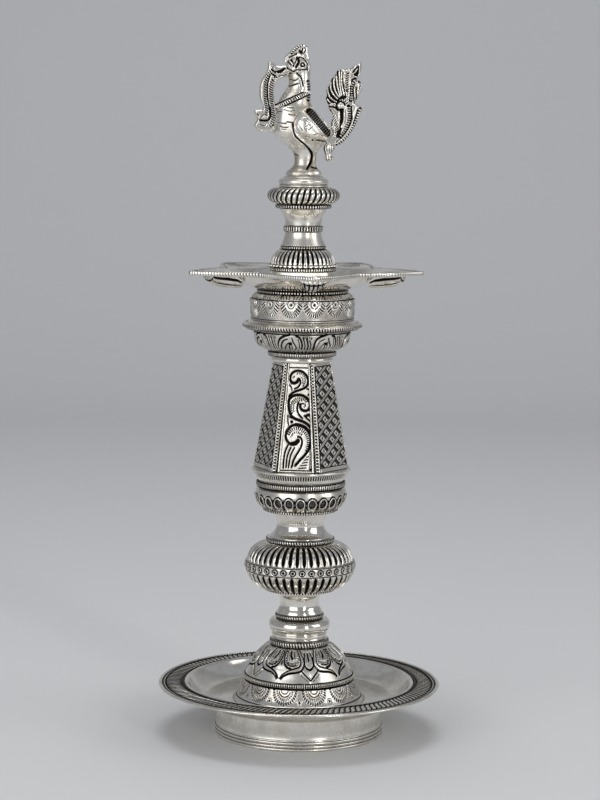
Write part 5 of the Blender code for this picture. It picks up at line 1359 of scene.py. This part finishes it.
def tail_pattern(relief):
    """Bright fan ribs on black, a boss, and ticked strips that curl round it."""
    draw, bright, comb, ground = relief.draw, relief.bright, relief.comb, relief.ground
    ground([(18.8, 40.9), (13.2, 40.1), (11.6, 43.5), (11.4, 49.5), (13.4, 54.5), (16, 56.5), (16.6, 60.5),
            (21, 60.5), (22.6, 55.5), (22.6, 49.5), (24.6, 45.7), (23.2, 43.3), (19.6, 42.9)], 0.8)
    for line in (
            [(17.8, 41.7), (14.6, 43.9), (13.1, 46.9), (12.6, 50.1)],
            [(18.5, 43.4), (16, 46.1), (14.5, 49.7), (14.6, 54.3)],
            [(19.3, 44.4), (17.2, 47.9), (16.3, 52.1), (16.6, 55.7)],
            [(20, 44.9), (18.6, 49.7), (17.8, 54.7), (17.3, 59.1)],
            [(20.8, 45.5), (19.9, 50.3), (19.5, 54.7), (19.3, 59.5)],
            [(22.2, 45.5), (21.2, 49.7), (20.6, 53.9), (20.8, 59.7)],
            [(23.7, 45.1), (22.8, 49.5), (22, 53.7), (21.8, 57.5)],
            [(17.6, 40.3), (14.8, 41), (12.8, 43.1)],
            [(17, 38.9), (17.6, 37.5), (18.8, 35.9)]):
        bright(line, 0.8, 0.8)
    draw([(18.6, 37.1), (16.4, 38.9), (14, 38.9)], 1)
    draw([(14.6, 37.1), (15.4, 33.1), (15.6, 28.5)], 0.8, 0.9)
    ground([(22.6, 59.1), (22.6, 49.5), (24.4, 45.9), (25.2, 49.5), (25, 54.5), (25.2, 58.5)], 0.3)
    bright([(22.9, 50.5), (22.6, 55.5), (22.6, 59.3)], 0.6)
    comb([(24, 47.9), (23.7, 51.9), (23.6, 55.9), (23.4, 59.3)], 1.25, 0.9, 0.6)
    for k in range(9):
        bright([(23.1, 49.1 + 1.25 * k), (24.4, 49.5 + 1.25 * k)], 0.55, 0.3)
    bright([(24.9, 49.1), (24.8, 54.5), (25.5, 58.1), (27.6, 61.3), (30.4, 63.9)], 0.7)
    bright([(25.1, 47.8), (25.2, 47.4)], 2, 0.6)
    ground([(26.2, 58.3), (28.4, 61.1), (30.4, 62.7), (30.6, 57.5), (29.6, 55.5), (27.4, 56.5)], 0.5, 0.95)
    bright([(26, 57.5), (28, 58.1), (29.4, 60.3)], 0.5)
    bright([(30.6, 63.5), (30.9, 59.5), (30.7, 56.3)], 0.7)
    ground([(25.8, 54.3), (28, 55.7), (30.4, 54.9), (27.6, 53.9), (25.8, 50.9)], 0.5)
    draw([(25.6, 50.5), (25.6, 45.5), (25, 42.1)], 0.6)
    comb([(26.2, 42.5), (26.3, 46.5), (26.9, 50.5), (28.3, 53.1), (30, 53.3)], 1.3, 1, 0.65)
    draw([(27.9, 41.3), (27.4, 45.5), (27.3, 49.1), (28.2, 51.7)], 0.7)
    bright([(28.8, 40.7), (28.2, 45.5), (28, 49.5), (28.9, 51.9), (30, 50.7), (30.2, 48.3)], 0.7)
    draw([(29.2, 42.1), (29, 46.1), (28.9, 49.9)], 0.8)
    draw([(30.8, 53.7), (31.2, 51.1), (30.8, 48.9)], 0.6)
    bright([(28, 40.5), (28.3, 40.2)], 1.4)
    distance = np.hypot(relief.u - 20.3, relief.v - 39.5)
    relief.cut(stroke(distance - 2.5, 0.8), 0.5)
    relief.height += np.sqrt(np.clip(2.1 ** 2 - distance ** 2, 0, None)) * 0.8
    comb([(19.4, 42.5), (21.6, 42.7), (23.4, 41.3), (24.8, 39.3)], 1.25, 0.9, 0.6)
    draw([(20.8, 37.1), (20.9, 31.9), (20.2, 26.7), (18.8, 22.5)], 2, 1, 0.7)
    bright([(19.7, 35.9), (19.8, 30.5), (19.4, 26.5)], 0.45, 0.2)
    bright([(23, 38.7), (23.2, 35.5), (23, 31.5), (21.6, 27.7)], 2, 0.5)
    comb([(24.9, 39.1), (25.4, 34.7), (24.9, 30.5), (23.4, 26.5), (20.6, 22.1)], 1.3, 1.15, 0.65)
    draw([(26.5, 39.1), (26.6, 33.9), (25.9, 29.9), (23.9, 25.5), (20.6, 21.1), (18.2, 19.1)], 1)
    bright([(29.6, 39.1), (28, 33.7), (26.9, 30.1), (24.8, 25.7), (21.4, 21.5), (18, 18.5)], 0.7)
    draw([(30.2, 37.7), (28.8, 33.1), (27.5, 29.5)], 0.6)
    comb([(31.2, 38.1), (29.7, 33.7), (28.3, 29.9), (26.2, 25.1), (22.4, 20.5), (18.6, 17.5)], 1.45, 1, 0.7)
    comb([(15.9, 34.7), (17.3, 30.9), (18.3, 26.9), (18.4, 23.9)], 1.25, 1.2, 0.65, 0.6)


def garland_pattern(relief):
    """A plain bright outer bevel, then two ticked strips with a black line between them."""
    draw, bright, comb = relief.draw, relief.bright, relief.comb
    draw([(-19.4, 56.1), (-20.5, 52.9), (-20.9, 49.5), (-20.8, 44.5), (-20.2, 40.5), (-19.4, 36.5)], 0.95)
    draw([(-19.6, 38.1), (-19.2, 33.9), (-20.2, 31.4), (-22.4, 30.8), (-24.8, 31.1)], 1.35, 1, 0.7)
    comb([(-18.6, 59.1), (-20.6, 56.1), (-22, 52.5), (-22.4, 49.1), (-22.3, 44.5), (-21.8, 40.5),
          (-21.3, 36.7), (-21.6, 33.5)], 1.3, 1, 0.7, -0.45)
    comb([(-18.1, 53.3), (-18.9, 49.5), (-18.9, 45.5), (-18.5, 41.3), (-17.7, 37.1), (-17.5, 32.5),
          (-18.6, 28.3)], 1.3, 1.2, 0.7, -0.45)
    draw([(-15.9, 37.9), (-15.6, 35.1)], 0.9)
    draw([(-16.2, 57.9), (-13.8, 58.4), (-11.4, 59.8)], 1.7, 1, 0.7)
    bright([(-16, 57.8), (-14.6, 56.5), (-13.2, 56.9), (-10.4, 59.9)], 0.6)
    draw([(-18, 58.9), (-17.2, 58.3)], 0.9)
    draw([(-18.8, 57.1), (-17.6, 56.4), (-17, 54.9)], 0.9)
    draw([(-16.8, 56.3), (-15.4, 54.5)], 0.7)
    draw([(-14.6, 55.9), (-12.4, 55.9), (-10.2, 56.7)], 0.6, 0.85)
    draw([(-18.8, 61.1), (-17.4, 59.9)], 0.5, 0.6)
    draw([(-26.4, 34.4), (-25.8, 33.8)], 0.8, 0.85)
    draw([(-24.6, 32.7), (-22.8, 34.4)], 0.6, 0.8)
    draw([(-25, 29.1), (-22.6, 27.9), (-21.4, 28.9)], 0.5, 0.7)
    comb([(-16.6, 28.5), (-14.8, 27.9), (-12.6, 28.3)], 1.3, 1, 0.6)


def crest_pattern(relief):
    """Ticks along the crest, and the lines below them."""
    draw, comb = relief.draw, relief.comb
    comb([(-7.4, 68.5), (-5.6, 70.3), (-3.6, 72.1), (-1.6, 72.7)], 1.25, 0.9, 0.6, 0.4)
    draw([(-8.6, 66.1), (-6.6, 67.8), (-4.6, 68.5)], 0.6, 0.8)
    draw([(-2.9, 69.7), (-1.9, 69)], 1.6)
    draw([(-1.2, 71.3), (-1.5, 70.1)], 0.8)
    draw([(-0.6, 68.5), (0.2, 70.1), (-0.2, 71.7)], 0.7, 0.9)
    draw([(-10.9, 64.9), (-8.6, 66.9)], 0.4, 0.5)


class SWANLAMP_OT_stage(bpy.types.Operator):
    """Floor, backdrop, lamps and camera"""

    bl_idname = "swan_lamp.stage"
    bl_label = "Build stage"

    def execute(self, context):
        build_backdrop()
        build_lights()
        build_camera()
        context.scene.view_settings.view_transform = "Standard"
        return {"FINISHED"}


def build_backdrop():
    """A pale sheet in metres: flat under the lamp, then bent up behind it."""
    reach, back, rise, bend = 3.0, 2.0, 3.4, 0.6
    turns = [math.pi / 2 * k / 16 for k in range(17)]
    profile = [(-2.6, 0.0)] + [(back - bend + bend * math.sin(t), bend - bend * math.cos(t)) for t in turns]
    profile += [(back, rise)]
    mesh = bpy.data.meshes.new("Floor")
    mesh.from_pydata([(x, y, z) for y, z in profile for x in (-reach, reach)], [],
                     [(2 * k, 2 * k + 1, 2 * k + 3, 2 * k + 2) for k in range(len(profile) - 1)])
    mesh.shade_smooth()
    paper = bpy.data.materials.new("Backdrop")
    paper.use_nodes = True
    shader = paper.node_tree.nodes["Principled BSDF"].inputs
    shader["Base Color"].default_value = (0.72, 0.72, 0.72, 1)
    shader["Roughness"].default_value = 0.9
    shader["Specular IOR Level"].default_value = 0.1
    mesh.materials.append(paper)
    floor = bpy.data.objects.new("Floor", mesh)
    bpy.context.scene.collection.objects.link(floor)


def build_lights():
    aim = Vector((0, 0, 0.20))
    for name, spot, size_x, size_y, power in (
        ("Left", (-0.88, -1.21, 0.62), 1.25, 1.1, 8.0), ("Strip", (0.83, -1.54, 0.55), 0.09, 1.3, 6.0),
        ("Right", (1.5, -0.5, 0.8), 0.9, 1.0, 4.5), ("Top", (0.0, 0.1, 1.8), 0.9, 0.9, 9.0),
    ):
        light = bpy.data.lights.new(name, "AREA")
        light.shape = "RECTANGLE"
        light.size, light.size_y, light.energy = size_x, size_y, power
        lamp = bpy.data.objects.new(name, light)
        lamp.location = spot
        lamp.rotation_euler = (aim - Vector(spot)).to_track_quat("-Z", "Y").to_euler()
        bpy.context.scene.collection.objects.link(lamp)
    world = bpy.data.worlds.new("World")
    bpy.context.scene.world = world
    world.use_nodes = True
    sky = world.node_tree.nodes["Background"].inputs
    sky["Color"].default_value = (0.85, 0.88, 0.95, 1)
    sky["Strength"].default_value = 0.36


def build_camera():
    view = bpy.data.cameras.new("Camera")
    view.sensor_fit = "VERTICAL"
    view.sensor_width = view.sensor_height = 36
    view.lens = 108
    camera = bpy.data.objects.new("Camera", view)
    distance, tilt, roll, height, side = 1.371, math.radians(6.9), math.radians(0.56), 0.193, -0.0009
    camera.location = (side, -distance * math.cos(tilt), height + distance * math.sin(tilt))
    turn = Matrix.Rotation(math.radians(90) - tilt, 3, "X") @ Matrix.Rotation(roll, 3, "Z")
    camera.rotation_euler = turn.to_euler()
    bpy.context.scene.collection.objects.link(camera)
    bpy.context.scene.camera = camera


class SWANLAMP_PT_panel(bpy.types.Panel):
    bl_label = "Swan Lamp"
    bl_idname = "SWANLAMP_PT_panel"
    bl_space_type = "VIEW_3D"
    bl_region_type = "UI"
    bl_category = "Swan Lamp"

    def draw(self, context):
        for name in LampSizes.__annotations__:
            self.layout.prop(context.scene.swan_lamp, name)
        for made in CLASSES[1:-1]:
            self.layout.operator(made.bl_idname)


CLASSES = (
    LampSizes, SWANLAMP_OT_base, SWANLAMP_OT_bulb, SWANLAMP_OT_pillar, SWANLAMP_OT_dish, SWANLAMP_OT_stem,
    SWANLAMP_OT_fittings, SWANLAMP_OT_swan, SWANLAMP_OT_stage, SWANLAMP_PT_panel,
)


def register():
    for made in CLASSES:
        bpy.utils.register_class(made)
    bpy.types.Scene.swan_lamp = PointerProperty(type=LampSizes)


def unregister():
    del bpy.types.Scene.swan_lamp
    for made in reversed(CLASSES):
        bpy.utils.unregister_class(made)


def main():
    register()
    bpy.ops.swan_lamp.base()
    bpy.ops.swan_lamp.bulb()
    bpy.ops.swan_lamp.pillar()
    bpy.ops.swan_lamp.dish()
    bpy.ops.swan_lamp.stem()
    bpy.ops.swan_lamp.fittings()
    bpy.ops.swan_lamp.swan()
    bpy.ops.swan_lamp.stage()


if __name__ == "__main__":
    main()
